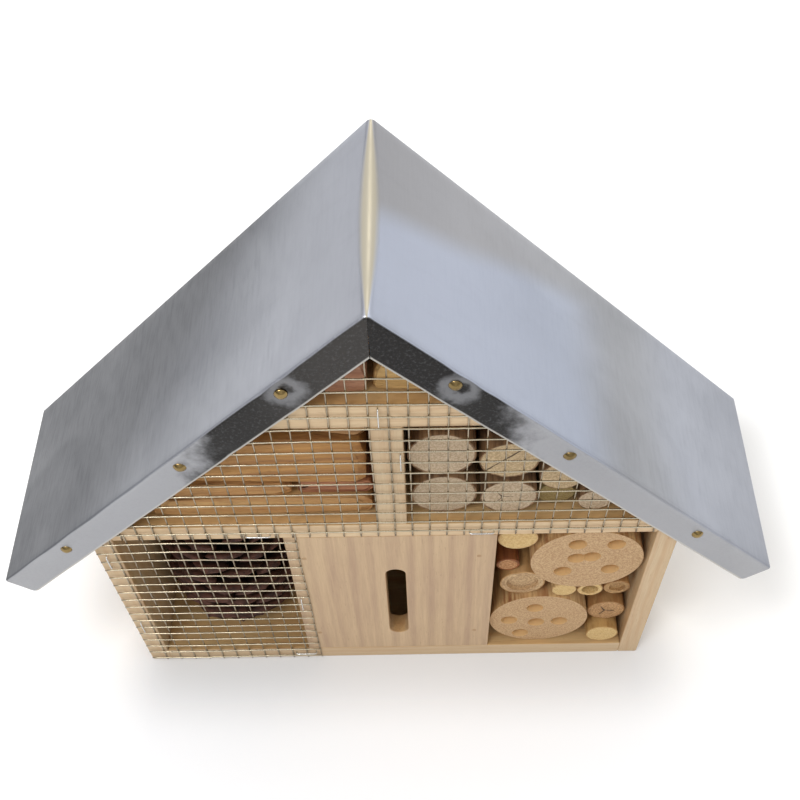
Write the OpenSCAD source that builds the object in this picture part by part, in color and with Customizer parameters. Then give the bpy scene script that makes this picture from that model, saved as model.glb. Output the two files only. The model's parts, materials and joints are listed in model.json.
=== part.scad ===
// Insect hotel: a nailed softwood box under a folded sheet-metal roof.
// Millimetres, +Z up, +X to the right as seen from the front, front face towards -Y.
// The origin is on the ground, under the middle of the whole object.

/* [Box] */
// Width over the side walls
box_w = 220; // [190:1:280]
// Depth of the box, front edges to the back of the back panel
box_d = 81; // [60:1:120]
// Thickness of the side walls and lower partitions
wall_t = 8.5; // [7:0.1:12]
// Thickness of the floor board
floor_t = 9; // [7:0.1:12]
// Clear height of the lower rooms
room_h = 98; // [80:1:130]
// Thickness of the middle shelf
shelf_t = 8.5; // [7:0.1:11]
// Thickness of the back panel
back_t = 5; // [3:0.1:8]
// Thickness of the upper partition and the upper shelf
stock_t = 11; // [8:0.1:14]
// Clear height of the upper rooms
loft_h = 60; // [45:1:70]
// Middle of the upper partition, left or right of the centre
loft_x = 3; // [-12:0.5:12]

/* [Entrance] */
// Width of the entrance panel
entrance_w = 80; // [60:1:100]
// Middle of the entrance panel
entrance_x = 2; // [-10:0.5:10]
// Thickness of the entrance panel
panel_t = 8.5; // [3:0.1:10]
// Width of the entrance slot
slot_w = 8; // [6:0.1:12]
// Height of the entrance slot with its round ends
slot_h = 57; // [30:1:70]
// Middle of the slot above the middle of the lower rooms
slot_dz = -5.5; // [-8:0.5:8]
// Middle of the slot, right of the middle of the panel
slot_dx = 1; // [-8:0.5:8]

/* [Roof] */
// Span of the metal roof, eave to eave
roof_span = 300; // [280:1:380]
// Slope of the roof in degrees
pitch = 45; // [40:1:48]
// Thickness of the two roof boards
roof_board_t = 8.5; // [7:0.1:12]
// Thickness of the roof sheet
sheet_t = 0.5; // [0.4:0.05:1]
// Height of the folded-down front and rear flanges, across the slope
flange_w = 13; // [11:0.5:20]
// Outer radius of the ridge bend
ridge_r = 2; // [1:0.1:6]
// Radius of the flange corners at the eaves
corner_r = 2; // [0.5:0.1:4]
// Sheet that stands past the board ends at the eaves
eave_lap = 1; // [0.2:0.1:4]
// Open seam between the two halves of a flange
seam_w = 0.3; // [0.2:0.05:1]
// Distances of the left flange nails from the ridge
nails_left = [44, 98, 173]; // [20:1:180]
// Distances of the right flange nails from the ridge
nails_right = [40, 94, 168.5]; // [20:1:180]

/* [Wire mesh] */
// Pitch of the welded mesh, a quarter inch
mesh_pitch = 6.35; // [5:0.05:13]
// Diameter of the mesh wire
wire_d = 0.65; // [0.5:0.05:1]
// Two crossing wires, pressed together at the weld
mesh_t = 1.2; // [1:0.05:2]
// An upright wire of the gable mesh, right of the upper partition's middle
gable_wire_x = 1.16; // [-3:0.01:3]
// A row of the gable mesh, above the upper shelf's middle
gable_wire_z = 1.07; // [0.5:0.01:1.2]
// How far the lower mesh's upright wires stand to the right of the gable mesh's
lower_wire_dx = 0.89; // [0.85:0.01:3]
// Lowest row of the lower mesh, above the ground
lower_wire_z = 3.37; // [2:0.01:6]

/* [Fixings] */
// Head diameter of the domed roof nails
roof_nail_head = 4.6; // [3:0.1:7]
// Shank diameter of the roof nails
roof_nail_d = 1.6; // [1:0.1:2.5]
// Length of the roof nails
roof_nail_l = 16; // [8:1:30]
// Head diameter of the panel brads
brad_head = 1.8; // [1:0.1:3]
// Shank diameter of the panel brads
brad_d = 1; // [0.6:0.1:1.6]
// Head diameter of the carcass nails
nail_head = 2.8; // [2:0.1:5]
// Shank diameter of the carcass nails
nail_d = 1.4; // [1:0.1:2.5]
// Length of the brads and the carcass nails
nail_l = 18; // [12:1:30]
// Length of the nails through the roof boards into the walls
board_nail_l = 14; // [11:0.5:16]
// Width of a staple's crown
staple_w = 9.6; // [8:0.1:12]
// Length of a staple's legs below the mesh
staple_l = 6; // [4:0.5:10]
// Width of the staple wire
staple_wire = 0.7; // [0.5:0.1:1.2]
// Thickness of the staple wire
staple_t = 0.5; // [0.4:0.1:0.8]
// Diameter of the hanging hole in the back panel
hang_d = 8; // [5:0.5:12]
// Hanging hole below the underside of the ridge
hang_drop = 17; // [12:0.5:24]

/* [Filling] */
// Clearance between the filling and what it touches
gap = 0.3; // [0.2:0.05:0.6]
// How far the filling stands back from the front edges
recess = 3; // [1:0.5:6]
// Radius of the big drilled log near the shelf
log_a_r = 22; // [18:0.1:23]
// Radius of the big drilled log on the floor
log_b_r = 21; // [16:0.1:22]
// Radius of the nest holes in the drilled logs
nest_r = 3.6; // [3:0.1:4]
// Depth of the nest holes
nest_l = 45; // [20:1:55]
// How far the upper drilled log stands back from the front edges
log_a_recess = 2; // [0.1:0.1:6]
// How far the lower drilled log stands back from the front edges
log_b_recess = 2.4; // [0.1:0.1:6]
// Room left beside the pine cone on each side
cone_side = 1.75; // [0.5:0.25:8]
// Room left above the pine cone
cone_head = 10; // [2:1:30]

/* [Hidden] */
$fn = 48;
eps = 0.5;

// Planes of the box.
front = -box_d / 2;
rear = box_d / 2;
back_in = rear - back_t;
half_in = box_w / 2 - wall_t;
floor_top = floor_t;
shelf_bot = floor_top + room_h;
shelf_top = shelf_bot + shelf_t;
loft_bot = shelf_top + loft_h;
loft_top = loft_bot + stock_t;

// Roof: the boards' underside passes just over the shelf's top corners.
board_n = sheet_t + roof_board_t;
apex_z = shelf_top + half_in * tan(pitch) + board_n / cos(pitch) + 0.4;
slope_l = roof_span / 2 / cos(pitch);
board_y = rear + mesh_t;
sheet_y = board_y + sheet_t;
nail_n = sheet_t + roof_board_t / 2;

// A point s down the slope from the ridge and n below the sheet's outer surface.
function at(s, n) = [s * cos(pitch) - n * sin(pitch), apex_z - s * sin(pitch) - n * cos(pitch)];
function mirrored(p) = [-p[0], p[1]];
function reverse(v) = [for (i = [len(v) - 1 : -1 : 0]) v[i]];
// Height of the boards' underside at a distance x from the middle.
function under_z(x) = apex_z - board_n / cos(pitch) - abs(x) * tan(pitch);
// Half a width of the loft at height z, under the roof boards.
function under_x(z) = (apex_z - board_n / cos(pitch) - z) / tan(pitch);

// Entrance panel and the partitions behind its edges.
entrance_l = entrance_x - entrance_w / 2;
entrance_r = entrance_x + entrance_w / 2;
slot_x = entrance_x + slot_dx;
slot_z = floor_top + room_h / 2 + slot_dz;
brad_in = wall_t * 0.75;
brad_rise = 16;
loft_l = loft_x - stock_t / 2;
loft_r = loft_x + stock_t / 2;

// Staples: middle [x, z] and 1 for upright, 0 for level. All sit between the mesh wires.
gable_x0 = loft_x + gable_wire_x;
gable_row = loft_bot + stock_t / 2 + gable_wire_z;
gable_z0 = gable_row + floor((under_z(0) - 12 - gable_row) / mesh_pitch) * mesh_pitch;
gable_low = shelf_bot + 1;
gable_rows = floor((gable_z0 - gable_low - 2) / mesh_pitch);
gable_low_row = gable_z0 - gable_rows * mesh_pitch;
lower_x0 = pair(-half_in, gable_x0) + lower_wire_dx;
lower_z0 = lower_wire_z;
lower_cols = floor((entrance_l + wall_t - lower_x0) / mesh_pitch);
lower_rows = floor((shelf_bot - 7 - lower_z0) / mesh_pitch);
// The middle of the mesh cell, or of the pair of cells, that holds a point.
function cell(v, v0) = v0 + (floor((v - v0) / mesh_pitch) + 0.5) * mesh_pitch;
function pair(v, v0) = v0 + round((v - v0) / mesh_pitch) * mesh_pitch;
staple_list = [
  [pair(-46, gable_x0), gable_low_row - 1.9, 0],
  [pair(35, gable_x0), gable_low_row - 1.9, 0],
  [cell(loft_x - 2, gable_x0), gable_row - 0.5, 1],
  [cell(loft_x + 3.5, gable_x0), pair(loft_bot - 22, gable_z0), 1],
  [-box_w / 2 + wall_t / 2 - 0.4, pair(shelf_bot - 12, lower_z0), 1],
  [-box_w / 2 + wall_t / 2 - 0.6, pair(floor_top + 24, lower_z0), 1],
  [cell(entrance_l + 2, lower_x0), pair(floor_top + 46, lower_z0), 1],
  [pair(entrance_l, lower_x0), cell(floor_top / 2, lower_z0) - 0.5, 0]
];

// Carries a front-view outline, drawn in X and Z, along Y.
module slab(y0, y1) {
  translate([0, y1, 0])
  rotate([90, 0, 0])
  linear_extrude(y1 - y0)
  children();
}

// Everything under the roof boards, seen from the front.
module under_roof_2d() {
  polygon([
    [-box_w, -1],
    [box_w, -1],
    [box_w, under_z(box_w)],
    [0, under_z(0)],
    [-box_w, under_z(box_w)]
  ]);
}

// A round rod along Y.
module rod(x, z, r, y0, y1) {
  translate([x, y1, z])
  rotate([90, 0, 0])
  cylinder(r = r, h = y1 - y0);
}

// A nail with a flat head, pointing along +Y from the origin, with its head flush.
module flat_nail(head, d, l) {
  rotate([-90, 0, 0])
  union() {
    cylinder(d = head, h = 0.6);
    cylinder(d = d, h = l);
  }
}

// One staple's legs, or the whole staple, pointing along +Y from the mesh's front.
module staple(whole) {
  for (side = [-1, 1])
    translate([side * (staple_w / 2 - staple_wire / 2) - staple_wire / 2, 0, -staple_t / 2])
    cube([staple_wire, mesh_t + staple_l, staple_t]);
  if (whole)
    translate([-staple_w / 2, -staple_t, -staple_t / 2])
    cube([staple_w, staple_t, staple_t]);
}

module place_staples(whole) {
  for (s = staple_list)
    translate([s[0], front - mesh_t, s[1]])
    rotate([0, s[2] * 90, 0])
    staple(whole);
}

// Brads through the entrance panel into the two partitions.
module place_brads() {
  for (x = [entrance_l + brad_in, entrance_r - brad_in])
    for (z = [floor_top + brad_rise, shelf_bot - brad_rise])
      translate([x, front, z])
      flat_nail(brad_head, brad_d, nail_l);
}

// Nails through the side walls into the floor, down through the middle shelf into the lower
// partitions, and down through the upper shelf into the upper partition.
module place_carcass_nails() {
  for (y = [front + box_d * 0.25, front + box_d * 0.7]) {
    for (side = [-1, 1])
      translate([side * box_w / 2, y, floor_t / 2])
      rotate([0, 0, side * 90])
      flat_nail(nail_head, nail_d, nail_l);
    for (p = [
      [entrance_l + wall_t / 2, shelf_top],
      [entrance_r - wall_t / 2, shelf_top],
      [loft_x, loft_top]
    ])
      translate([p[0], y, p[1]])
      rotate([-90, 0, 0])
      flat_nail(nail_head, nail_d, nail_l);
  }
}

// Nails through the roof boards, square to the slope, into the tops of the side walls.
module place_board_nails() {
  wall_s = (box_w / 2 - wall_t * 0.3 + board_n * sin(pitch)) / cos(pitch);
  p = at(wall_s, sheet_t);
  for (side = [-1, 1])
    for (y = [front + box_d * 0.25, front + box_d * 0.7])
      translate([side * p[0], y, p[1]])
      rotate([0, side * pitch, 0])
      rotate([-90, 0, 0])
      flat_nail(nail_head, nail_d, board_nail_l);
}

// Nails through the back panel into the floor, walls, middle shelf and upper shelf.
module place_back_nails() {
  side_x = box_w / 2 - wall_t / 2;
  spots = concat(
    [for (x = [-0.7, 0, 0.7]) [x * half_in, floor_t / 2]],
    [for (x = [-0.6, 0, 0.6]) [x * half_in, shelf_bot + shelf_t / 2]],
    [for (x = [-side_x, side_x]) for (k = [0.3, 0.75]) [x, floor_top + k * room_h]],
    [[0, loft_bot + stock_t / 2]]
  );
  for (p = spots)
    translate([p[0], rear, p[1]])
    rotate([0, 0, 180])
    flat_nail(nail_head, nail_d, nail_l);
}

// Shank positions of the flange nails, as front-view points.
function flange_nails() = concat(
  [for (s = nails_left) mirrored(at(s, nail_n))],
  [for (s = nails_right) at(s, nail_n)]
);

module roof_nail_shanks() {
  for (p = flange_nails()) {
    rod(p[0], p[1], roof_nail_d / 2, -sheet_y, -sheet_y + roof_nail_l);
    rod(p[0], p[1], roof_nail_d / 2, sheet_y - roof_nail_l, sheet_y);
  }
}

// Floor board between the side walls.
module floor_board() {
  color("BurlyWood")
  difference() {
    slab(front, back_in)
      translate([-half_in, 0])
      square([2 * half_in, floor_t]);
    place_carcass_nails();
    place_back_nails();
    place_staples(false);
  }
}

// A side wall, bevelled on top to carry the roof board.
module side_wall(side) {
  difference() {
    slab(front, back_in)
      intersection() {
        translate([side > 0 ? half_in : -box_w / 2, 0])
        square([wall_t, apex_z]);
        under_roof_2d();
      }
    place_carcass_nails();
    place_board_nails();
    place_back_nails();
    place_staples(false);
  }
}

module left_wall() {
  color("BurlyWood")
  side_wall(-1);
}

module right_wall() {
  color("BurlyWood")
  side_wall(1);
}

// Shelf over the three lower rooms.
module middle_shelf() {
  color("Wheat")
  difference() {
    slab(front, back_in)
      intersection() {
        translate([-half_in, shelf_bot])
        square([2 * half_in, shelf_t]);
        under_roof_2d();
      }
    place_carcass_nails();
    place_back_nails();
    place_staples(false);
  }
}

// Short shelf high in the gable, bevelled at both ends to meet the roof boards.
module upper_shelf() {
  color("Wheat")
  difference() {
    slab(front, back_in)
      intersection() {
        translate([-half_in, loft_bot])
        square([2 * half_in, stock_t]);
        under_roof_2d();
      }
    place_carcass_nails();
    place_back_nails();
    place_staples(false);
  }
}

// Upright between the two upper rooms.
module upper_partition() {
  color("Wheat")
  difference() {
    slab(front, back_in)
      translate([loft_l, shelf_top])
      square([stock_t, loft_h]);
    place_carcass_nails();
    place_staples(false);
  }
}

// Partitions beside the butterfly room, set back by the entrance panel's thickness.
module lower_partition(x) {
  difference() {
    slab(front + panel_t, back_in)
      translate([x, floor_top])
      square([wall_t, room_h]);
    place_carcass_nails();
    place_brads();
    place_staples(false);
  }
}

module left_partition() {
  color("BurlyWood")
  lower_partition(entrance_l);
}

module right_partition() {
  color("BurlyWood")
  lower_partition(entrance_r - wall_t);
}

// Front panel with the upright slot for butterflies.
module entrance_panel() {
  straight = slot_h - slot_w;
  color("Tan")
  difference() {
    slab(front, front + panel_t)
      translate([entrance_l, floor_top])
      square([entrance_w, room_h]);
    translate([slot_x - slot_w / 2, front - eps, slot_z - straight / 2])
      cube([slot_w, panel_t + 2 * eps, straight]);
    rod(slot_x, slot_z - straight / 2, slot_w / 2, front - eps, front + panel_t + eps);
    rod(slot_x, slot_z + straight / 2, slot_w / 2, front - eps, front + panel_t + eps);
    place_brads();
    place_staples(false);
  }
}

// House-shaped back with the hanging hole under the ridge.
module back_panel() {
  color("Peru")
  difference() {
    slab(back_in, rear)
      intersection() {
        translate([-box_w / 2, 0])
        square([box_w, apex_z]);
        under_roof_2d();
      }
    rod(0, under_z(0) - hang_drop, hang_d / 2, back_in - eps, rear + eps);
    place_back_nails();
  }
}

// A roof board, mitred and blunted at the ridge to clear the bend, and cut square at the eave.
module roof_board(side) {
  outer = at(slope_l - eave_lap, sheet_t);
  inner = at(slope_l - eave_lap, board_n);
  blunt_z = apex_z - ridge_r / cos(pitch) + (ridge_r - sheet_t) * cos(pitch) - 0.1;
  difference() {
    slab(-board_y, board_y)
      polygon([
        [0, blunt_z],
        [side * (apex_z - sheet_t / cos(pitch) - blunt_z) / tan(pitch), blunt_z],
        [side * outer[0], outer[1]],
        [side * inner[0], inner[1]],
        [0, under_z(0)]
      ]);
    roof_nail_shanks();
    place_board_nails();
  }
}

module left_roof_board() {
  color("BurlyWood")
  roof_board(-1);
}

module right_roof_board() {
  color("BurlyWood")
  roof_board(1);
}

// The sheet's outline at depth n below its outer surface, left eave to right eave,
// with the ridge bend as an arc about one centre.
function ridge_line(n) =
  let (
    r = ridge_r - n,
    mid = apex_z - ridge_r / cos(pitch),
    steps = 6
  )
  [for (i = [0 : steps]) let (a = 90 + pitch - i * 2 * pitch / steps) [r * cos(a), mid + r * sin(a)]];

// The rounded lower corner of a flange at the right eave, from the eave inwards.
function eave_corner() =
  [for (i = [0 : 4]) let (a = 90 * i / 4) at(slope_l - corner_r * (1 - cos(a)), flange_w - corner_r * (1 - sin(a)))];

module sheet_skin_2d() {
  polygon(concat(
    [mirrored(at(slope_l, 0))],
    ridge_line(0),
    [at(slope_l, 0), at(slope_l, sheet_t)],
    reverse(ridge_line(sheet_t)),
    [mirrored(at(slope_l, sheet_t))]
  ));
}

module flange_2d() {
  polygon(concat(
    [mirrored(at(slope_l, 0))],
    ridge_line(0),
    [at(slope_l, 0)],
    eave_corner(),
    [at(flange_w * tan(pitch), flange_w)],
    [for (p = reverse(eave_corner())) mirrored(p)]
  ));
}

// One folded sheet: two slopes and the front and rear flanges, split under the ridge.
module roof_sheet() {
  seam_top = apex_z - ridge_r - sheet_t;
  color("LightSteelBlue")
  difference() {
    union() {
      slab(-sheet_y, sheet_y)
        sheet_skin_2d();
      slab(-sheet_y, -board_y)
        flange_2d();
      slab(board_y, sheet_y)
        flange_2d();
    }
    for (y = [-sheet_y, board_y])
      translate([-seam_w / 2, y - eps, seam_top - 2 * flange_w])
      cube([seam_w, sheet_t + 2 * eps, 2 * flange_w]);
    roof_nail_shanks();
  }
}

// Domed nails that hold the flanges to the ends of the roof boards.
module roof_nail() {
  dome_h = roof_nail_head * 0.3;
  dome_r = (roof_nail_head * roof_nail_head / 4 + dome_h * dome_h) / (2 * dome_h);
  rotate([-90, 0, 0])
  union() {
    cylinder(d = roof_nail_d, h = roof_nail_l);
    intersection() {
      translate([0, 0, dome_r - dome_h])
      sphere(r = dome_r);
      translate([0, 0, -roof_nail_head])
      cylinder(d = 2 * roof_nail_head, h = roof_nail_head);
    }
  }
}

module roof_nails() {
  color("DarkGoldenrod")
  for (p = flange_nails()) {
    translate([p[0], -sheet_y, p[1]])
      roof_nail();
    translate([p[0], sheet_y, p[1]])
      rotate([0, 0, 180])
      roof_nail();
  }
}

module panel_brads() {
  color("DimGray")
  place_brads();
}

module carcass_nails() {
  color("DimGray") {
    place_carcass_nails();
    place_board_nails();
  }
}

module back_nails() {
  color("DimGray")
  place_back_nails();
}

// Bars of a mesh as front-view squares.
module mesh_bars_2d(xs, zs, x_lim, z_lim) {
  for (x = xs)
    translate([x - wire_d / 2, z_lim[0]])
    square([wire_d, z_lim[1] - z_lim[0]]);
  for (z = zs)
    translate([x_lim[0], z - wire_d / 2])
    square([x_lim[1] - x_lim[0], wire_d]);
}

// Welded mesh over the gable, tucked behind the flange's lip.
module gable_mesh() {
  half = under_x(gable_low_row) - wire_d - gap;
  first = ceil((-half - gable_x0) / mesh_pitch);
  last = floor((half - gable_x0) / mesh_pitch);
  color("Gainsboro")
  slab(front - mesh_t, front)
    intersection() {
      mesh_bars_2d(
        [for (k = [first : last]) gable_x0 + k * mesh_pitch],
        [for (k = [0 : gable_rows]) gable_z0 - k * mesh_pitch],
        [-half, half],
        [gable_low, under_z(0)]
      );
      translate([0, -gap / cos(pitch)])
      under_roof_2d();
    }
}

// Welded mesh over the pine-cone room, from the left wall to the entrance panel's edge.
module lower_mesh() {
  color("Gainsboro")
  slab(front - mesh_t, front)
    mesh_bars_2d(
      [for (k = [0 : lower_cols]) lower_x0 + k * mesh_pitch],
      [for (k = [0 : lower_rows]) lower_z0 + k * mesh_pitch],
      [-box_w / 2 + 0.6, lower_x0 + lower_cols * mesh_pitch + wire_d / 2],
      [0.6, gable_low_row - wire_d / 2 - gap]
    );
}

module staples() {
  color("Silver")
  place_staples(true);
}

// Filling of the lower right room. Each piece is [x, z, radius], and rests on the ones before it.
// All of it is sized to the room: fill is 1 for a room 59.5 wide and 98 high.
room_r = entrance_r;
fill = min((half_in - room_r) / 59.5, room_h / 98);
// The height of a piece of radius r that lies on piece p at x.
function on_top(p, x, r) = let (d = p[2] + r + gap) [x, p[1] + sqrt(d * d - (x - p[0]) * (x - p[0])), r];
// The place of a piece of radius r that lies in the hollow between p and q, with q on the right.
function between(p, q, r) =
  let (
    a = p[2] + r + gap,
    b = q[2] + r + gap,
    dx = q[0] - p[0],
    dz = q[1] - p[1],
    d = norm([dx, dz]),
    t = (a * a - b * b + d * d) / (2 * d),
    h = sqrt(a * a - t * t)
  )
  [p[0] + (dx * t - dz * h) / d, p[1] + (dz * t + dx * h) / d, r];
function beside(p, r) = [p[0] + p[2] + r + gap, p[1], r];

log_b = [room_r + gap + log_b_r * fill, floor_top + gap + log_b_r * fill, log_b_r * fill];
side_lower = [log_b[0] + 29.1 * fill, floor_top + gap + 7.1 * fill, 7.1 * fill];
side_upper = between(log_b, side_lower, 8.2 * fill);
ringed = on_top(log_b, log_b[0] - 8.7 * fill, 9.4 * fill);
row_left = on_top(log_b, log_b[0] + 8.8 * fill, 5.1 * fill);
row_hollow = beside(row_left, 5.3 * fill);
row_right = beside(row_hollow, 5.5 * fill);
log_a = on_top(row_hollow, row_hollow[0] - 4.6 * fill, log_a_r * fill);
barked = on_top(ringed, log_b[0] - 15.3 * fill, 4.8 * fill);
top_cane = [room_r + gap + 8 * fill, log_a[1] + 15.4 * fill, 8 * fill];

// Nest holes of a drilled log as [x, z] from its middle.
holes_a = [[-4.2, 1.8], [1.6, 2.8], [-4.9, 12.4], [10, 12], [-8.7, -8.7], [10, -7.4]];
holes_b = [[-2.2, 10.2], [-0.7, -3.4], [9.2, -2.7], [-12.6, -1.1], [-7, -14]];

module stick(p, back_off) {
  rod(p[0], p[1], p[2], front + back_off, back_in - gap);
}

// A drilled log, with its face back_off from the front edges.
module drilled_log(p, holes, back_off) {
  difference() {
    stick(p, back_off);
    for (h = holes)
      rod(p[0] + h[0] * fill, p[1] + h[1] * fill, nest_r * fill, front + back_off - eps, front + back_off + nest_l);
  }
}

module drilled_log_upper() {
  color("Khaki")
  drilled_log(log_a, holes_a, log_a_recess);
}

module drilled_log_lower() {
  color("Khaki")
  drilled_log(log_b, holes_b, log_b_recess);
}

// A cane with a bore of radius bore_r and depth bore_l in its front end.
module cane(p, back_off, bore_r, bore_l) {
  difference() {
    stick(p, back_off);
    rod(p[0], p[1], bore_r, front - eps, front + back_off + bore_l);
  }
}

module cane_top() {
  color("Khaki")
  stick(top_cane, recess);
}

module cane_barked() {
  color("Sienna")
  stick(barked, recess + 2.8);
}

module cane_ringed() {
  color("Tan")
  cane(ringed, recess + 1.2, ringed[2] * 0.72, 2);
}

module cane_row_left() {
  color("Khaki")
  stick(row_left, recess);
}

module cane_row_hollow() {
  color("Khaki")
  cane(row_hollow, recess, row_hollow[2] - 1.8 * fill, nest_l);
}

module cane_row_right() {
  color("Khaki")
  cane(row_right, recess + 0.8, row_right[2] * 0.6, 1.5);
}

module cane_side_upper() {
  color("Tan")
  stick(side_upper, recess + 1.8);
}

module cane_side_lower() {
  color("Khaki")
  stick(side_lower, recess / 3);
}

// Cut branches of the upper right room, in two layers, sized to a room 93.4 wide and 60 high.
loft_recess = recess + 1.5;
loft_fill = min((under_x(shelf_top) - loft_r) / 93.4, loft_h / 60);
// A piece of radius r on the shelf, to the right of piece p.
function next_on_shelf(p, r) =
  let (d = p[2] + r + gap, dz = r - p[2])
  [p[0] + sqrt(d * d - dz * dz), shelf_top + gap + r, r];
function on_shelf(x, r) = [x, shelf_top + gap + r, r];
piece_b = on_shelf(loft_r + 13.6 * loft_fill, 12.2 * loft_fill);
piece_a = on_top(piece_b, piece_b[0] - 1 * loft_fill, 12.3 * loft_fill);
piece_d = next_on_shelf(piece_b, 10.7 * loft_fill);
piece_c = on_top(piece_d, piece_a[0] + 23.4 * loft_fill, 10.6 * loft_fill);
piece_f = next_on_shelf(piece_d, 7 * loft_fill);
piece_e = on_top(piece_f, piece_f[0] + 0.6 * loft_fill, 8.1 * loft_fill);
piece_g = next_on_shelf(piece_f, 6.5 * loft_fill);

module branch_a() {
  color("Tan")
  stick(piece_a, loft_recess);
}

module branch_b() {
  color("Tan")
  stick(piece_b, loft_recess);
}

module branch_c() {
  color("Goldenrod")
  stick(piece_c, loft_recess + 0.5);
}

module branch_d() {
  color("Tan")
  stick(piece_d, loft_recess - 0.5);
}

module branch_e() {
  color("Tan")
  stick(piece_e, loft_recess);
}

module branch_f() {
  color("Olive")
  stick(piece_f, loft_recess + 3);
}

module branch_g() {
  color("Tan")
  stick(piece_g, loft_recess);
}

// Split wood in the upper left room and the gable: front outlines in shares of the room's
// width and height, cut off where they would reach the roof boards.
loft_w = under_x(shelf_top) + loft_l;
gable_w = under_x(loft_top);
gable_h = under_z(0) - loft_top;
loft_d = box_d - back_t - loft_recess;

module chunk(corner, size, points, back_off, depth) {
  slab(front + back_off, front + back_off + depth)
    intersection() {
      translate(corner)
      scale(size)
      polygon(points);
      translate([0, -gap / cos(pitch)])
      under_roof_2d();
    }
}

// A chunk of the upper left room, from the partition to the left and from the shelf up.
module loft_chunk(points, back_off, short) {
  chunk([loft_l - gap, shelf_top + gap], [loft_w / 108, loft_h / 60], points, back_off, loft_d - short);
}

// A chunk of the gable top, from the middle outwards and from the upper shelf up.
module gable_chunk(points, back_off, depth) {
  chunk([0, loft_top + gap], [gable_w / 30.9, gable_h / 30.9], points, back_off, depth);
}

module chunk_base() {
  color("Wheat")
  loft_chunk([
    [-91, 0], [0, 0], [-0.6, 8], [-3, 11], [-40, 11.2], [-62, 11.2], [-86, 9.5]
  ], loft_recess, 4);
}

module chunk_pale() {
  color("Wheat")
  loft_chunk([
    [-84, 11.6], [-36, 11.6], [-31, 14], [-35, 19.4], [-62, 20], [-79, 18]
  ], loft_recess + 0.5, 9);
}

module chunk_red() {
  color("IndianRed")
  loft_chunk([
    [-29, 11.6], [-3, 11.6], [-0.5, 14], [-1, 19], [-28, 19.6], [-30, 14]
  ], loft_recess + 1.5, 14);
}

module chunk_big() {
  color("Peru")
  loft_chunk([
    [-76, 20.4], [-30, 20.3], [-2, 20], [-0.4, 34], [-4, 43.5], [-25, 45.2], [-49, 46], [-62, 34]
  ], loft_recess, 6);
}

module chunk_wedge() {
  color("SaddleBrown")
  loft_chunk([
    [-41, 53.4], [-27, 50.4], [-3, 45.8], [-0.4, 50.4], [-1, 59.4], [-36, 59.4]
  ], loft_recess + 1, 12);
}

module gable_chunk_left() {
  color("RosyBrown")
  gable_chunk([
    [-25, 0], [-2.2, 0], [-1.6, 9], [-4.5, 18], [-8, 18.4], [-19, 8]
  ], loft_recess, loft_d * 0.68);
}

module gable_chunk_right() {
  color("Khaki")
  gable_chunk([
    [-1, 0], [24, 0], [18, 8.4], [9.5, 17], [3, 18.6], [0.4, 10]
  ], loft_recess + 0.5, loft_d * 0.62);
}

// Pine cone standing in the lower left room: outline radii at shares of its height.
module pine_cone() {
  shape = [[0, 0.62], [0.07, 0.88], [0.2, 1], [0.36, 1], [0.55, 0.9], [0.72, 0.7], [0.87, 0.42], [1, 0.12]];
  mid_x = (entrance_l - half_in) / 2;
  cone_r = min(entrance_l + half_in, back_in - front - recess - 3 + cone_side) / 2 - cone_side;
  cone_h = room_h - cone_head;
  color("SaddleBrown")
  translate([mid_x, front + recess + 3 + cone_r, floor_top + gap])
    rotate_extrude()
    polygon(concat(
      [[0, 0]],
      [for (p = shape) [p[1] * cone_r, p[0] * cone_h]],
      [[0, cone_h]]
    ));
}

floor_board();
left_wall();
right_wall();
middle_shelf();
upper_shelf();
upper_partition();
left_partition();
right_partition();
entrance_panel();
back_panel();
left_roof_board();
right_roof_board();
roof_sheet();
roof_nails();
panel_brads();
carcass_nails();
back_nails();
gable_mesh();
lower_mesh();
staples();
drilled_log_upper();
drilled_log_lower();
cane_top();
cane_barked();
cane_ringed();
cane_row_left();
cane_row_hollow();
cane_row_right();
cane_side_upper();
cane_side_lower();
branch_a();
branch_b();
branch_c();
branch_d();
branch_e();
branch_f();
branch_g();
chunk_base();
chunk_pale();
chunk_red();
chunk_big();
chunk_wedge();
gable_chunk_left();
gable_chunk_right();
pine_cone();
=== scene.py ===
"""Insect hotel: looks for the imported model, laid out as an add-on and run as a script.

Lengths are metres in the model's own frame: +X to the right seen from the front, the
front towards -Y, +Z up, and the origin on the ground under the middle of the object.
Every new piece is a surface worked out as whole arrays, placed from the boxes of the
model's nodes.
"""

import json
import math

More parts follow.
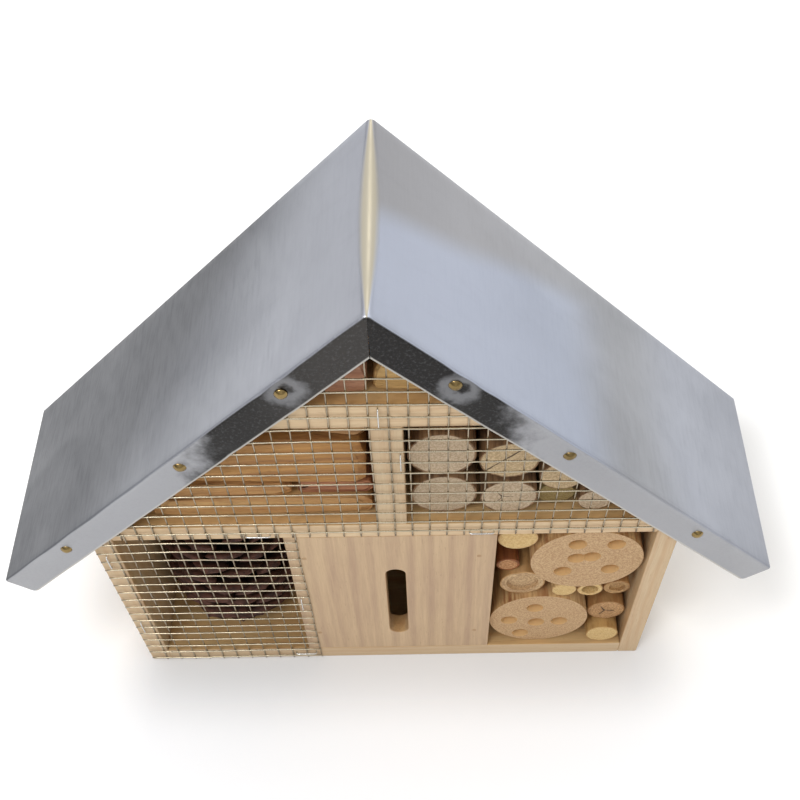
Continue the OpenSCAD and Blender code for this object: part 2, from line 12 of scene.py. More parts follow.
import bpy
import numpy as np
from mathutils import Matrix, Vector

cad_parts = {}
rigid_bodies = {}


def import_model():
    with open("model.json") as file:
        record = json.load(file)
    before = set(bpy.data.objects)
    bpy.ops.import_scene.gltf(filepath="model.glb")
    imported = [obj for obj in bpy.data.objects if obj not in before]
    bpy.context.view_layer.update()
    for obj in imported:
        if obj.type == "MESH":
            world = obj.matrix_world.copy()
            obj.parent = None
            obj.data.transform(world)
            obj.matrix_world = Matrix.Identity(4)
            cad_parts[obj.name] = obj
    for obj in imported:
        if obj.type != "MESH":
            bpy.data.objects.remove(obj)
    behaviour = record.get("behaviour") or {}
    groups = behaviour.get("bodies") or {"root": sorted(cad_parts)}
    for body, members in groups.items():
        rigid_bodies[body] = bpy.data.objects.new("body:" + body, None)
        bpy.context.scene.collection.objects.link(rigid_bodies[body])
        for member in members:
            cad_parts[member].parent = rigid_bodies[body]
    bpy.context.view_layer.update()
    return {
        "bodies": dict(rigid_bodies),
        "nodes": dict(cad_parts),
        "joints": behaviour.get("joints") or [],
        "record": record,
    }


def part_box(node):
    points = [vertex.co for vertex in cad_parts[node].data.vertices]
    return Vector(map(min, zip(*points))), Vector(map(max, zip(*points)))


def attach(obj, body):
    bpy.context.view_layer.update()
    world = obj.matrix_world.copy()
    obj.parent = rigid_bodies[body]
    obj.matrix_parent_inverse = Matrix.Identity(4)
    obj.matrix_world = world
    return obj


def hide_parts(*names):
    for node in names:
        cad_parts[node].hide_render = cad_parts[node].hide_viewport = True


bl_info = {
    "name": "Insect hotel",
    "version": (1, 0, 0),
    "blender": (4, 5, 0),
    "location": "3D View > Sidebar > Insect hotel",
    "description": "Builds the visible pieces and finishes of a roofed insect hotel",
    "category": "Add Mesh",
}

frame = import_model()
MM = 0.001
FULL_TURN = 6.283  # radians
DIAGONAL = math.sqrt(2)  # way down a slope of 45 degrees for each step across
SLANT = math.sqrt(0.5)  # step across for each step down such a slope
WHITE, BLACK = (1, 1, 1), (0, 0, 0)


def tone(red, green, blue):
    """A display colour, 0 to 255 a channel, as the linear colour that shaders take."""
    c = np.array([red, green, blue]) / 255
    c = np.where(c <= 0.04045, c / 12.92, ((c + 0.055) / 1.055) ** 2.4)
    return (float(c[0]), float(c[1]), float(c[2]))


def times(share, colour):
    """A colour made lighter or darker."""
    return tuple(share * c for c in colour)


def box_of(node):
    """Lowest and highest corner of a node as arrays, in metres."""
    lo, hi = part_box(node)
    return np.array(lo), np.array(hi)


def middle_of(node, axis):
    """Middle of a node's box along X, Y or Z: 0, 1 or 2."""
    return np.mean([corner[axis] for corner in box_of(node)])


# ---------------------------------------------------------------- sizes and colours


def colour(name, text, value):
    return bpy.props.FloatVectorProperty(
        name=name, description=text, subtype="COLOR", size=3, min=0, max=1, default=value
    )


def length(name, text, value, low=0.0, high=1.0):
    return bpy.props.FloatProperty(
        name=name, description=text, unit="LENGTH", default=value, min=low, max=high,
        precision=5,
    )


def amount(name, text, value, low=0.0, high=1.0):
    return bpy.props.FloatProperty(
        name=name, description=text, default=value, min=low, max=high
    )


class HotelRoof(bpy.types.PropertyGroup):
    """The folded sheet roof and its nails."""

    sheet: colour("Sheet", "Bare metal of the two slopes", tone(176, 178, 184))
    # colour of the painted dark reflection on the flanges under the ridge
    tarnish: colour("Tarnish", "Tarnish on the flanges under the ridge", tone(42, 40, 38))
    brass: colour("Nails", "Yellow passivated nail heads", tone(150, 128, 84))
    thickness: length("Sheet thickness", "Thickness of the sheet", 0.5 * MM)
    flange: length("Flange", "Width of the folded edges, across the slope", 13 * MM)
    bend_ends: length("Bend at the ends", "Ridge bend radius at the front and rear", 2.0 * MM)
    bend_middle: length("Bend in the middle", "Ridge bend radius half way", 4.6 * MM)
    # painted highlight: colour and half width of the bright lens painted on the ridge
    glow: colour("Ridge glow", "Light that the soft ridge catches", tone(181, 174, 155))
    glow_width: length("Glow width", "Half the width of the ridge's lens", 3.1 * MM)
    fold: length("Fold", "Radius of the fold between a slope and its flange", 1.1 * MM)
    dent: length("Dent", "Depth of the hammer dents round the top nails", 0.45 * MM)
    nail_head: length("Nail head", "Diameter of the domed heads", 4.6 * MM)


class HotelWire(bpy.types.PropertyGroup):
    """The welded mesh and its staples."""

    galvanised: colour("Galvanised wire", "Colour of the mesh wire", tone(200, 190, 166))
    bright: colour("Staple wire", "Colour of the staples", tone(222, 222, 220))
    # painted shade: the uprights are the same wire as the rows, coloured darker
    dull: colour("Upright wire", "Duller zinc of the uprights", tone(172, 160, 140))
    wire: length("Wire", "Diameter of the mesh wire", 0.6 * MM)
    pitch: length("Pitch", "Distance between wires", 6.35 * MM)
    bow: length("Bow", "How far the wires wander from straight", 0.4 * MM)


class HotelBoards(bpy.types.PropertyGroup):
    """The sawn boards of the box."""

    pale: colour("Pale wood", "Early wood of the boards", tone(216, 187, 145))
    dark: colour("Dark wood", "Late wood of the boards", tone(188, 145, 96))
    panel_pale: colour("Panel, pale", "Pale stripes of the entrance panel", tone(197, 165, 124))
    panel_dark: colour("Panel, dark", "Dark stripes of the entrance panel", tone(166, 128, 92))
    back_pale: colour("Back, pale", "Pale figure of the back panel", tone(198, 170, 130))
    back_dark: colour("Back, dark", "Dark figure of the back panel", tone(160, 124, 84))
    ease: length("Eased edge", "Radius worn onto the boards' edges", 0.4 * MM)


class HotelFilling(bpy.types.PropertyGroup):
    """Logs, canes, branches, split wood and the cone."""

    log_pale: colour("Log, pale", "Pale end grain of the drilled logs", tone(201, 170, 130))
    log_dark: colour("Log, dark", "Rings of the drilled logs", tone(172, 132, 90))
    cane: colour("Cane", "Skin of the canes", tone(208, 174, 122))
    bark: colour("Bark", "Orange-brown bark", tone(148, 90, 48))
    branch: colour("Branch", "Pale cut face of the branches", tone(208, 188, 160))
    branch_ring: colour("Branch rings", "Rings of the branches", tone(172, 146, 114))
    olive: colour("Olive bark", "Thin greenish bark", tone(120, 106, 62))
    split: colour("Split wood", "Orange-brown split wood", tone(200, 152, 92))
    split_dark: colour("Split wood, dark", "Dark fibres of the split wood", tone(146, 98, 56))
    # partly painted shade: the scales' dark brown drawn near-black where the scales lie under one
    # another
    cone: colour("Cone scales", "Body of the scales", tone(22, 15, 13))
    cone_tip: colour("Cone tips", "Reddish-brown tips of the scales", tone(98, 62, 50))


class HotelStage(bpy.types.PropertyGroup):
    """Floor, light and camera."""

    floor: colour("Floor", "Plain pale floor", (0.95, 0.965, 0.98))
    bounce: amount("Bounce", "How much the floor glows, as a lit table would", 0.16, 0, 1)
    sky: amount("Sky", "Strength of the soft light all round", 0.8, 0, 5)
    key: amount("Key", "Power of the big soft light, in watts", 7.5, 0, 500)
    fill: amount("Fill", "Power of the light from the front, in watts", 0.5, 0, 500)


GROUPS = (HotelRoof, HotelWire, HotelBoards, HotelFilling, HotelStage)


def key_of(group):
    """Name of the scene property that holds a group of sizes."""
    return "hotel_" + group.__name__.replace("Hotel", "").lower()


def sizes(name):
    return getattr(bpy.context.scene, "hotel_" + name)


# ---------------------------------------------------------------- surfaces


class Shape:
    """Corners, faces of three or four corners, and values carried at the corners."""

    def __init__(self, corners, faces, **carried):
        self.corners = np.asarray(corners, float).reshape(-1, 3)
        self.faces = [np.asarray(f, int) for f in faces if len(f)]
        self.carried = carried

    def outward(self):
        """Turns every face round if the volume under the faces comes out negative."""
        volume = 0.0
        for f in self.faces:
            p = self.corners[f]
            for k in range(1, f.shape[1] - 1):
                volume += np.einsum("ij,ij->", p[:, 0], np.cross(p[:, k], p[:, k + 1]))
        if volume < 0:
            self.faces = [f[:, ::-1] for f in self.faces]
        return self


def together(shapes):
    """Several shapes as one, corner numbers moved on by those before."""
    start = np.cumsum([0] + [len(s.corners) for s in shapes])
    faces = [f + n for s, n in zip(shapes, start) for f in s.faces]
    keys = shapes[0].carried
    carried = {k: np.concatenate([s.carried[k] for s in shapes]) for k in keys}
    return Shape(np.concatenate([s.corners for s in shapes]), faces, **carried)


def quads(a, b, c, d):
    """Faces of four corners from four arrays of corner numbers."""
    return np.stack([a, b, c, d], -1).reshape(-1, 4)


def skin(rings, start, end, **carried):
    """Closed rings (stations, points, 3) joined by quads, with a fan to a pole at each end."""
    m, n = rings.shape[:2]
    index = np.arange(m * n).reshape(m, n)
    a, b = index[:-1], index[1:]
    faces = [quads(a, np.roll(a, -1, 1), np.roll(b, -1, 1), b)]
    corners = [rings.reshape(-1, 3)]
    count = m * n
    carried = {k: [np.asarray(v, float).reshape(m * n, -1)] for k, v in carried.items()}
    for pole, row, side in ((start, 0, 1), (end, m - 1, -1)):
        corners.append(np.asarray(pole, float).reshape(1, 3))
        edge = index[row]
        fan = np.stack([np.full(n, count), np.roll(edge, -1), edge], -1)
        faces.append(fan[:, ::side])
        count += 1
        for values in carried.values():
            values.append(values[0][edge].mean(0, keepdims=True))
    carried = {k: np.concatenate(v) for k, v in carried.items()}
    return Shape(np.concatenate(corners), faces, **carried).outward()


def piece(name, shape, material, replaces=(), crease=None):
    """A mesh object at the origin made of a shape, riding on the one body."""
    mesh = bpy.data.meshes.new(name)
    faces = [row for f in shape.faces for row in f.tolist()]
    mesh.from_pydata(shape.corners.tolist(), [], faces)
    for key, values in shape.carried.items():
        wide = values.shape[1] == 3
        kind, field = ("FLOAT_VECTOR", "vector") if wide else ("FLOAT", "value")
        mesh.attributes.new(key, kind, "POINT").data.foreach_set(
            field, values.astype(np.float32).ravel()
        )
    mesh.polygons.foreach_set("use_smooth", np.ones(len(mesh.polygons), bool))
    if crease:
        mesh.set_sharp_from_angle(angle=math.radians(crease))
    mesh.materials.append(material)
    mesh.validate()
    mesh.update()
    obj = bpy.data.objects.new(name, mesh)
    bpy.context.scene.collection.objects.link(obj)
    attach(obj, "root")
    if replaces:
        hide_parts(*replaces)
    return obj


def finish_node(node, material):
    """Gives a node that stays as it is its material."""
    data = frame["nodes"][node].data
    data.materials.clear()
    data.materials.append(material)


def ripple(u, v, seed, waves=7, low=1.0, high=6.0):
    """A smooth random height from -1 to 1: a mean of sines of random slant, pitch and phase in
    u and v."""
    rng = np.random.default_rng(seed)
    total = np.zeros(np.broadcast(u, v).shape)
    for _ in range(waves):
        f, g = rng.uniform(low, high, 2) * rng.choice([-1, 1], 2)
        total = total + np.sin(f * u + g * v + rng.uniform(0, FULL_TURN))
    return total / waves ** 0.5 / 2


def bell(distance, width):
    """1 at no distance and falling off as a bell of the given width."""
    return np.exp(-((distance / width) ** 2))


def tube(path, radius, points=8, flat=1.0, up=(0, 1, 0)):
    """A round rod along a path (n, 3): at each station a circle square to the path's
    direction. The circle's first axis is up made square to the direction; flat squashes it."""
    path = np.asarray(path, float)
    along = np.gradient(path, axis=0)
    along /= np.linalg.norm(along, axis=1, keepdims=True)
    up = np.asarray(up, float)
    first = up - along * (along @ up)[:, None]
    first /= np.linalg.norm(first, axis=1, keepdims=True)
    second = np.cross(along, first)
    a = np.linspace(0, 2 * np.pi, points, endpoint=False)[None, :, None]
    ring = first[:, None] * np.cos(a) * flat + second[:, None] * np.sin(a)
    return skin(path[:, None] + radius * ring, path[0], path[-1])


def corner_arcs(outline, radius, steps=4, support=0.3 * MM):
    """Centres and outward directions round a convex outline with its corners rounded.

    A corner's arc centre lies at the corner less radius * (n1 + n2) / (1 + n1.n2), where n1
    and n2 are the outward normals of its two edges. A point of the outline inset by d is
    centre + (radius - d) * direction. Two extra points beside each arc keep the faces flat."""
    p = np.asarray(outline, float)
    area = np.sum(p[:, 0] * np.roll(p[:, 1], -1) - np.roll(p[:, 0], -1) * p[:, 1])
    if area < 0:
        p = p[::-1]
    e = np.roll(p, -1, 0) - p
    e /= np.linalg.norm(e, axis=1, keepdims=True)
    n2 = np.stack([e[:, 1], -e[:, 0]], 1)
    n1 = np.roll(n2, 1, 0)
    centre = p - radius * (n1 + n2) / (1 + np.sum(n1 * n2, 1, keepdims=True))
    t = np.linspace(0, 1, steps)[None, :, None]
    direction = (1 - t) * n1[:, None] + t * n2[:, None]
    direction /= np.linalg.norm(direction, axis=2, keepdims=True)
    direction = np.concatenate([n1[:, None], direction, n2[:, None]], 1)
    centres = np.repeat(centre[:, None], steps + 2, 1)
    centres[:, 0] -= support * np.roll(e, 1, 0)
    centres[:, -1] += support * e
    return centres.reshape(-1, 2), direction.reshape(-1, 2)


def eased_stations(y0, y1, ease):
    """Insets and places along Y of a slab's rings: a flat end, a quarter-round edge, the long
    sides, and the same backwards."""
    a = np.radians([0, 30, 60, 90])
    inset = np.concatenate([[ease + 0.3 * MM], ease * (1 - np.sin(a)), [0]])
    y = np.concatenate([[0], ease * (1 - np.cos(a)), [ease + 0.4 * MM]])
    return np.concatenate([inset, inset[::-1]]), np.concatenate([y0 + y, y1 - y[::-1]])


def slab(outline, y0, y1, ease):
    """A board: a convex front-view outline carried along Y, with all its edges eased."""
    radius = ease + 0.4 * MM
    centres, directions = corner_arcs(outline, radius)
    inset, y = eased_stations(y0, y1, ease)
    flat = centres[None] + (radius - inset)[:, None, None] * directions[None]
    x, z = flat[..., 0], flat[..., 1]
    rings = np.stack([x, np.broadcast_to(y[:, None], x.shape), z], -1)
    middle = centres.mean(0)
    return skin(rings, [middle[0], y0, middle[1]], [middle[0], y1, middle[1]])


# ---------------------------------------------------------------- shader groups and materials


class Value:
    """A value in a shader, so that sums of values are written with + - * and /."""

    def __init__(self, graph, socket):
        self.graph, self.socket = graph, socket

    def __add__(self, other):
        return self.graph.math("ADD", self, other)

    def __sub__(self, other):
        return self.graph.math("SUBTRACT", self, other)

    def __rsub__(self, other):
        return self.graph.math("SUBTRACT", other, self)

    def __mul__(self, other):
        return self.graph.math("MULTIPLY", self, other)

    def __truediv__(self, other):
        return self.graph.math("DIVIDE", self, other)

    def __abs__(self):
        return self.graph.math("ABSOLUTE", self)


class Graph:
    """Short words for making and joining shader nodes."""

    def __init__(self, tree):
        self.tree = tree

    def __getitem__(self, name):
        """An input of the shader group that this graph fills."""
        return Value(self, self.source[name])

    def set(self, socket, value):
        if isinstance(value, Value):
            self.tree.links.new(value.socket, socket)
        elif socket.type == "RGBA" and len(value) == 3:
            socket.default_value = (*value, 1)
        else:
            socket.default_value = value

    def node(self, kind, *inputs, settings=None, **named):
        """A node with its inputs in order or by name, with _ for a space."""
        n = self.tree.nodes.new("ShaderNode" + kind)
        for key, value in (settings or {}).items():
            setattr(n, key, value)
        for i, value in enumerate(inputs):
            if value is not None:
                self.set(n.inputs[i], value)
        for key, value in named.items():
            self.set(n.inputs[key.replace("_", " ")], value)
        return n

    def value(self, kind, *inputs, **more):
        """The first output of a node."""
        return Value(self, self.node(kind, *inputs, **more).outputs[0])

    def math(self, operation, a, b=None, clamp=False):
        return self.value("Math", a, b, settings={"operation": operation, "use_clamp": clamp})

    def distance(self, a, b):
        return self.math("SQRT", a * a + b * b)

    def blend(self, factor, a, b, kind="MIX"):
        return self.value("MixRGB", factor, a, b, settings={"blend_type": kind})

    def grey(self, level):
        return self.value("CombineColor", level, level, level)

    def scaled(self, vector, scale):
        return self.value("VectorMath", vector, scale, settings={"operation": "MULTIPLY"})

    def parts(self, vector):
        return [Value(self, o) for o in self.node("SeparateXYZ", vector).outputs]

    def facing(self):
        """The three parts of the surface's direction."""
        return self.parts(Value(self, self.node("NewGeometry").outputs["Normal"]))

    def noise(self, vector, scale, detail=3.0, rough=0.5, distort=0.0):
        n = self.node("TexNoise", Vector=vector, Scale=scale, Detail=detail, Roughness=rough,
                      Distortion=distort)
        return Value(self, n.outputs["Fac"])

    def drawn(self, vector, scale, detail, rough):
        """Noise drawn out along the axes of small scale."""
        return self.noise(self.scaled(vector, scale), 1.0, detail, rough)

    def span(self, value, low, high, to_low=0.0, to_high=1.0):
        """value from low to high as to_low to to_high, eased and held at both ends."""
        n = self.node("MapRange", settings={"interpolation_type": "SMOOTHSTEP"}, Value=value,
                      From_Min=low, From_Max=high, To_Min=to_low, To_Max=to_high)
        return Value(self, n.outputs["Result"])

    def attribute(self, name, output="Fac"):
        n = self.node("Attribute", settings={"attribute_name": name})
        return Value(self, n.outputs[output])

    def group(self, name, **inputs):
        """Places a shared shader group, made at its first use, and gives its outputs by name."""
        tree = bpy.data.node_groups.get(name) or SHARED[name](name)
        n = self.node("Group", settings={"node_tree": tree}, **inputs)
        return {o.name: Value(self, o) for o in n.outputs}

    def give(self, **outputs):
        """Feeds the outputs of the shader group that this graph fills."""
        for key, value in outputs.items():
            self.set(self.target[key], value)
        return self.tree

    def finish(self, colour, rough, height, depth, strength):
        """Feeds colour, roughness and the bump of a height to the material's shader."""
        bump = self.value("Bump", Strength=strength, Distance=depth, Height=height)
        inputs = self.shader.inputs
        for key, value in (("Base Color", colour), ("Roughness", rough), ("Normal", bump)):
            self.set(inputs[key], value)
        return self.material


def new_group(name, **defaults):
    """A Graph on a new shader group, which takes a vector and the named colours and numbers."""
    tree = bpy.data.node_groups.new(name, "ShaderNodeTree")
    for label, value in {"Vector": None, **defaults}.items():
        kind = "Vector" if value is None else "Color" if isinstance(value, tuple) else "Float"
        socket = tree.interface.new_socket(
            name=label, in_out="INPUT", socket_type="NodeSocket" + kind)
        if value is not None:
            socket.default_value = (*value, 1) if kind == "Color" else value
    for label, kind in (("Color", "Color"), ("Roughness", "Float"), ("Height", "Float")):
        tree.interface.new_socket(name=label, in_out="OUTPUT", socket_type="NodeSocket" + kind)
    g = Graph(tree)
    g.source = tree.nodes.new("NodeGroupInput").outputs
    g.target = tree.nodes.new("NodeGroupOutput").inputs
    return g


def plank_group(name):
    """Sawn softwood with its grain along X: bands of late wood that wander, streaks along the
    grain, fine fibres and a few dark pores."""
    g = new_group(name, Pale=WHITE, Dark=BLACK, Bands=260.0, Contrast=0.6, Wander=0.018)
    place, dark = g["Vector"], g["Dark"]
    x, y, z = g.parts(place)
    wander = g.drawn(place, (9, 40, 40), 3, 0.55)
    across = y * 0.55 + z + wander * g["Wander"]
    band = g.span(g.math("SINE", across * (g["Bands"] * FULL_TURN)), -0.2, 1.0)
    streak = g.drawn(place, (14, 420, 420), 4, 0.6)
    fibre = g.drawn(place, (90, 2600, 2600), 2, 0.6)
    blotch = g.drawn(place, (12, 30, 30), 2, 0.5)
    pore = g.span(g.drawn(place, (260, 3200, 3200), 1, 0.5), 0.7, 0.78)
    mask = band * 0.45 + g.span(streak, 0.38, 0.68, 0, 0.5)
    mask = mask + g.span(blotch, 0.35, 0.7, -0.12, 0.22)
    mask = g.math("MULTIPLY", mask, g["Contrast"], clamp=True)
    colour = g.blend(mask, g["Pale"], dark)
    colour = g.blend(g.span(fibre, 0.35, 0.65, 0.0, 0.16), colour, dark, "MULTIPLY")
    colour = g.blend(pore * 0.45, colour, dark, "MULTIPLY")
    height = fibre * 0.5 + streak * 0.5 - pore * 0.6
    return g.give(Color=colour, Roughness=g.span(mask, 0, 1, 0.72, 0.55), Height=height)


def sawn_group(name):
    """A sawn end: rings round the pith in the XZ plane, saw scratches, blotches, and cracks
    that run out from the pith in a number of arms."""
    g = new_group(name, Pale=WHITE, Dark=BLACK, Spacing=0.0018, Contrast=0.5, Arms=1.0,
                  Turn=0.0, Crack=0.0, Reach=0.01)
    place, dark = g["Vector"], g["Dark"]
    x, y, z = g.parts(place)
    wander = g.noise(place, 160, 3, 0.6) - 0.5
    d = g.distance(x, z)
    wave = g.math("SINE", (d + wander * 0.0035) * FULL_TURN / g["Spacing"])
    saw = g.drawn(place, (160, 500, 2200), 3, 0.6)
    blotch = g.noise(place, 70, 3, 0.6)
    fine = g.noise(place, 1500, 2, 0.65)
    mask = g.span(wave, -0.3, 1.0) * 0.5 + g.span(saw, 0.35, 0.7, 0, 0.45)
    mask = mask + g.span(blotch, 0.3, 0.7, -0.25, 0.35)
    mask = g.math("MULTIPLY", mask, g["Contrast"], clamp=True)
    colour = g.blend(mask, g["Pale"], dark)
    colour = g.blend(g.span(fine, 0.4, 0.62, 0.0, 0.42), colour, dark, "MULTIPLY")
    angle = g.math("ARCTAN2", z, x) - g["Turn"]
    off = d * abs(g.math("SINE", angle * g["Arms"])) / g["Arms"] + wander * 0.0012
    off = abs(off) / g.math("MAXIMUM", g["Crack"], 0.01 * MM)
    crack = g.span(off, 0.4, 1.0, 1, 0) * g.math("LESS_THAN", d, g["Reach"])
    colour = g.blend(crack * 0.85, colour, (0.05, 0.03, 0.018))
    height = saw * 0.6 + fine * 0.4 - crack * 2.0
    return g.give(Color=colour, Roughness=g.span(mask, 0, 1, 0.8, 0.66), Height=height)


def bark_group(name):
    """Bark or peeled skin along Y: lengthwise streaks and flakes."""
    g = new_group(name, Base=WHITE, Dark=BLACK, Rough=0.5)
    place, dark = g["Vector"], g["Dark"]
    streak = g.drawn(place, (500, 30, 500), 4, 0.6)
    flake = g.drawn(place, (220, 90, 220), 4, 0.65)
    colour = g.blend(g.span(streak, 0.35, 0.7, 0.0, 0.8), g["Base"], dark)
    colour = g.blend(g.span(flake, 0.45, 0.7, 0.0, 0.6), colour, dark, "MULTIPLY")
    height = streak * 0.5 + flake * g["Rough"]
    return g.give(Color=colour, Roughness=g.span(streak, 0, 1, 0.55, 0.8), Height=height)


def metal_group(name):
    """Bare sheet or wire: soft clouds of zinc bloom, long faint stains and fine scratches."""
    g = new_group(name, Base=WHITE, Stain=BLACK, Stains=0.3, Shine=0.35)
    place = g["Vector"]
    cloud = g.noise(place, 14, 4, 0.6, 0.4)
    bloom = g.noise(place, 210, 3, 0.6)
    drip = g.drawn(place, (60, 220, 9), 3, 0.6)
    scratch = g.drawn(place, (900, 90, 900), 3, 0.65)
    mask = g.span(cloud, 0.35, 0.7, 0, 0.45) + g.span(bloom, 0.5, 0.8, 0, 0.35)
    mask = mask + g.span(drip, 0.5, 0.75, 0, 0.5)
    mask = g.math("MULTIPLY", mask, g["Stains"], clamp=True)
    rough = g["Shine"] + g.span(cloud, 0.3, 0.7, -0.05, 0.08)
    rough = rough + g.span(scratch, 0.4, 0.7, -0.02, 0.06)
    return g.give(Color=g.blend(mask, g["Base"], g["Stain"]), Roughness=rough,
                  Height=cloud + scratch * 0.03)


SHARED = {
    "Plank grain": plank_group, "Sawn end": sawn_group, "Bark": bark_group,
    "Bare metal": metal_group,
}


def material(name, metallic=0.0, specular=0.35):
    """A Graph on a new material with its Principled shader."""
    m = bpy.data.materials.new(name)
    m.use_nodes = True
    m.node_tree.nodes.clear()
    g = Graph(m.node_tree)
    g.shader = g.node("BsdfPrincipled", Metallic=metallic, Specular_IOR_Level=specular)
    g.node("OutputMaterial", Surface=Value(g, g.shader.outputs["BSDF"]))
    g.place = Value(g, g.node("TexCoord").outputs["Object"])
    g.material = m
    return g


def plank_material(name, pale, dark, grain, shift, contrast, bands=260.0, wander=0.018):
    """Sawn board whose grain runs along the given axis; shift moves it to another part of the
    tree. Front edges are painted paler and upper faces painted yellower: painted light from the
    front and painted warm light on the tops."""
    g = material(name)
    turn = {"X": (0, 0, 0), "Y": (0, 0, math.pi / 2), "Z": (0, math.pi / 2, 0)}[grain]
    turned = g.value("Mapping", g.place, (shift, shift * 0.7, shift * 0.3), turn)
    out = g.group("Plank grain", Vector=turned, Pale=pale, Dark=dark, Contrast=contrast,
                  Bands=bands, Wander=wander)
    nx, ny, nz = g.facing()
    # painted warm light: faces that point up are tinted yellower
    upper = g.span(nz, 0.6, 0.95, 0, 1)
    colour = g.blend(upper, out["Color"], (1.0, 0.93, 0.76), "MULTIPLY")
    # painted light: faces that point to the front are blended paler
    painted_front_light = g.span(ny * -1, 0.6, 0.95, 0, 0.16)
    colour = g.blend(painted_front_light, colour, (0.84, 0.76, 0.62))
    return g.finish(colour, out["Roughness"], out["Height"], 0.12 * MM, 0.6)


def metal_material(name, base, stain, stains, shine, depth, fineness=1, metallic=1.0):
    """Small bare metal pieces; fineness shrinks the pattern."""
    g = material(name, metallic)
    place = g.scaled(g.place, (fineness,) * 3) if fineness > 1 else g.place
    out = g.group("Bare metal", Vector=place, Base=base, Stain=stain, Stains=stains,
                  Shine=shine)
    return g.finish(out["Color"], out["Roughness"], out["Height"], depth, 0.6)


# ---------------------------------------------------------------- operators


class Build(bpy.types.Operator):
    """Base of the hotel's builders: runs make and reports that it is done."""

    bl_options = {"REGISTER", "UNDO"}

    def execute(self, context):
        self.make()
        return {"FINISHED"}


class HOTEL_OT_stage(Build):
    """Lays the pale floor, lights the scene softly from all round and sets up the camera."""

    bl_idname = "hotel.stage"
    bl_label = "Floor, light and camera"

    floor_half = 6.0
    lens = 48.04
    shift = (-0.0275, 0.10625)
    camera_place = (0.01539, -0.24102, 0.45002)
    camera_turn = (33.027, 0.683, -0.724)

    def make(self):
        s = sizes("stage")
        ours = {o.name for group in ("nodes", "bodies") for o in frame[group].values()}
        for o in list(bpy.data.objects):
            if o.name not in ours and o.type in ("MESH", "LIGHT", "CAMERA"):
                bpy.data.objects.remove(o)
        bpy.context.scene.view_settings.view_transform = "Standard"
        self.floor(s)
        self.world(s)
        self.lamp("key", (-0.55, -0.75, 1.5), 0.1, 0.45, 0.45, s.key, (1, 0.985, 0.96))
        self.lamp("front_fill", (0.1, -1.3, 0.55), 0.1, 0.9, 0.6, s.fill, (1, 0.97, 0.9))
        self.lamp("ridge_glow", (0.0, 1.3, 1.25), 0.2, 0.35, 0.5, s.key * 0.9, (1, 0.93, 0.74))
        self.camera()

    def placed(self, name, data):
        thing = bpy.data.objects.new(name, data)
        bpy.context.scene.collection.objects.link(thing)
        return thing

    def floor(self, s):
        mesh = bpy.data.meshes.new("floor")
        h = self.floor_half
        mesh.from_pydata([(-h, -h, 0), (h, -h, 0), (h, h, 0), (-h, h, 0)], [], [(0, 1, 2, 3)])
        g = material("floor", specular=0.1)
        shade = self.contact_shade(g)
        g.set(g.shader.inputs["Base Color"], g.blend(shade, s.floor, (0.3, 0.3, 0.3)))
        g.set(g.shader.inputs["Roughness"], 0.9)
        g.set(g.shader.inputs["Emission Color"], g.blend(shade, WHITE, BLACK))
        g.set(g.shader.inputs["Emission Strength"], s.bounce)
        mesh.materials.append(g.material)
        self.placed("floor", mesh)

    def world(self, s):
        """Light from all round: more from above, and less from the left than from the right."""
        world = bpy.data.worlds.new("studio")
        world.use_nodes = True
        bpy.context.scene.world = world
        w = Graph(world.node_tree)
        w.tree.nodes.clear()
        way = Value(w, w.node("TexCoord").outputs["Generated"])
        x, y, z = w.parts(way)
        side = w.span(x, -0.9, 0.5, 0.34, 0.62)
        level = w.span(z, 0.0, 0.75, 0.0, 1.0)
        shade = level * 0.62 + (1.0 - level) * side + w.span(z, 0.2, 1.0, 0.0, 0.65)
        colour = w.blend(w.span(x, -1, 1), (0.97, 0.98, 1.04), (1.0, 0.99, 0.97))
        colour = w.blend(1.0, colour, w.grey(shade), "MULTIPLY")
        w.node("OutputWorld", Surface=w.value("Background", colour, s.sky))

    def contact_shade(self, g):
        """Soft shade on the floor: round the box's foot, a little to the right and forward, and
        under the roof, further to the right and back."""
        foot, eaves = box_of("floor_board")[1], box_of("roof_sheet")[1]
        box = self.away(g, foot, (6 * MM, -4 * MM), 42 * MM, 0.36)
        roof = self.away(g, eaves, (24 * MM, 34 * MM), 34 * MM, 0.3)
        return g.math("MAXIMUM", box, roof)

    def away(self, g, half, middle, reach, share):
        """share inside a rectangle of the given half sizes, less with the distance from it."""
        gaps = []
        for place, centre, size in zip(g.parts(g.place), middle, half[:2]):
            gaps.append(g.math("MAXIMUM", abs(place - centre) - float(size), 0.0))
        return g.span(g.distance(*gaps), 0.0, reach, share, 0.0)

    def lamp(self, name, place, target_height, wide, tall, power, tint):
        """A soft rectangular lamp turned towards a height on the object's own axis."""
        data = bpy.data.lights.new(name, "AREA")
        data.shape = "RECTANGLE"
        data.size, data.size_y = wide, tall
        data.energy = power
        data.color = tint
        lamp = self.placed(name, data)
        lamp.location = place
        x, y, z = np.array((0, 0, target_height)) - np.array(place)
        tilt = math.atan2(math.hypot(x, y), -z)
        lamp.rotation_euler = (tilt, 0, math.atan2(y, x) - math.pi / 2)
        lamp.visible_camera = False

    def camera(self):
        data = bpy.data.cameras.new("camera")
        data.lens = self.lens
        data.sensor_width = 36
        data.shift_x, data.shift_y = self.shift
        data.clip_start = 0.01
        camera = self.placed("camera", data)
        camera.location = self.camera_place
        camera.rotation_euler = [math.radians(a) for a in self.camera_turn]
        bpy.context.scene.camera = camera


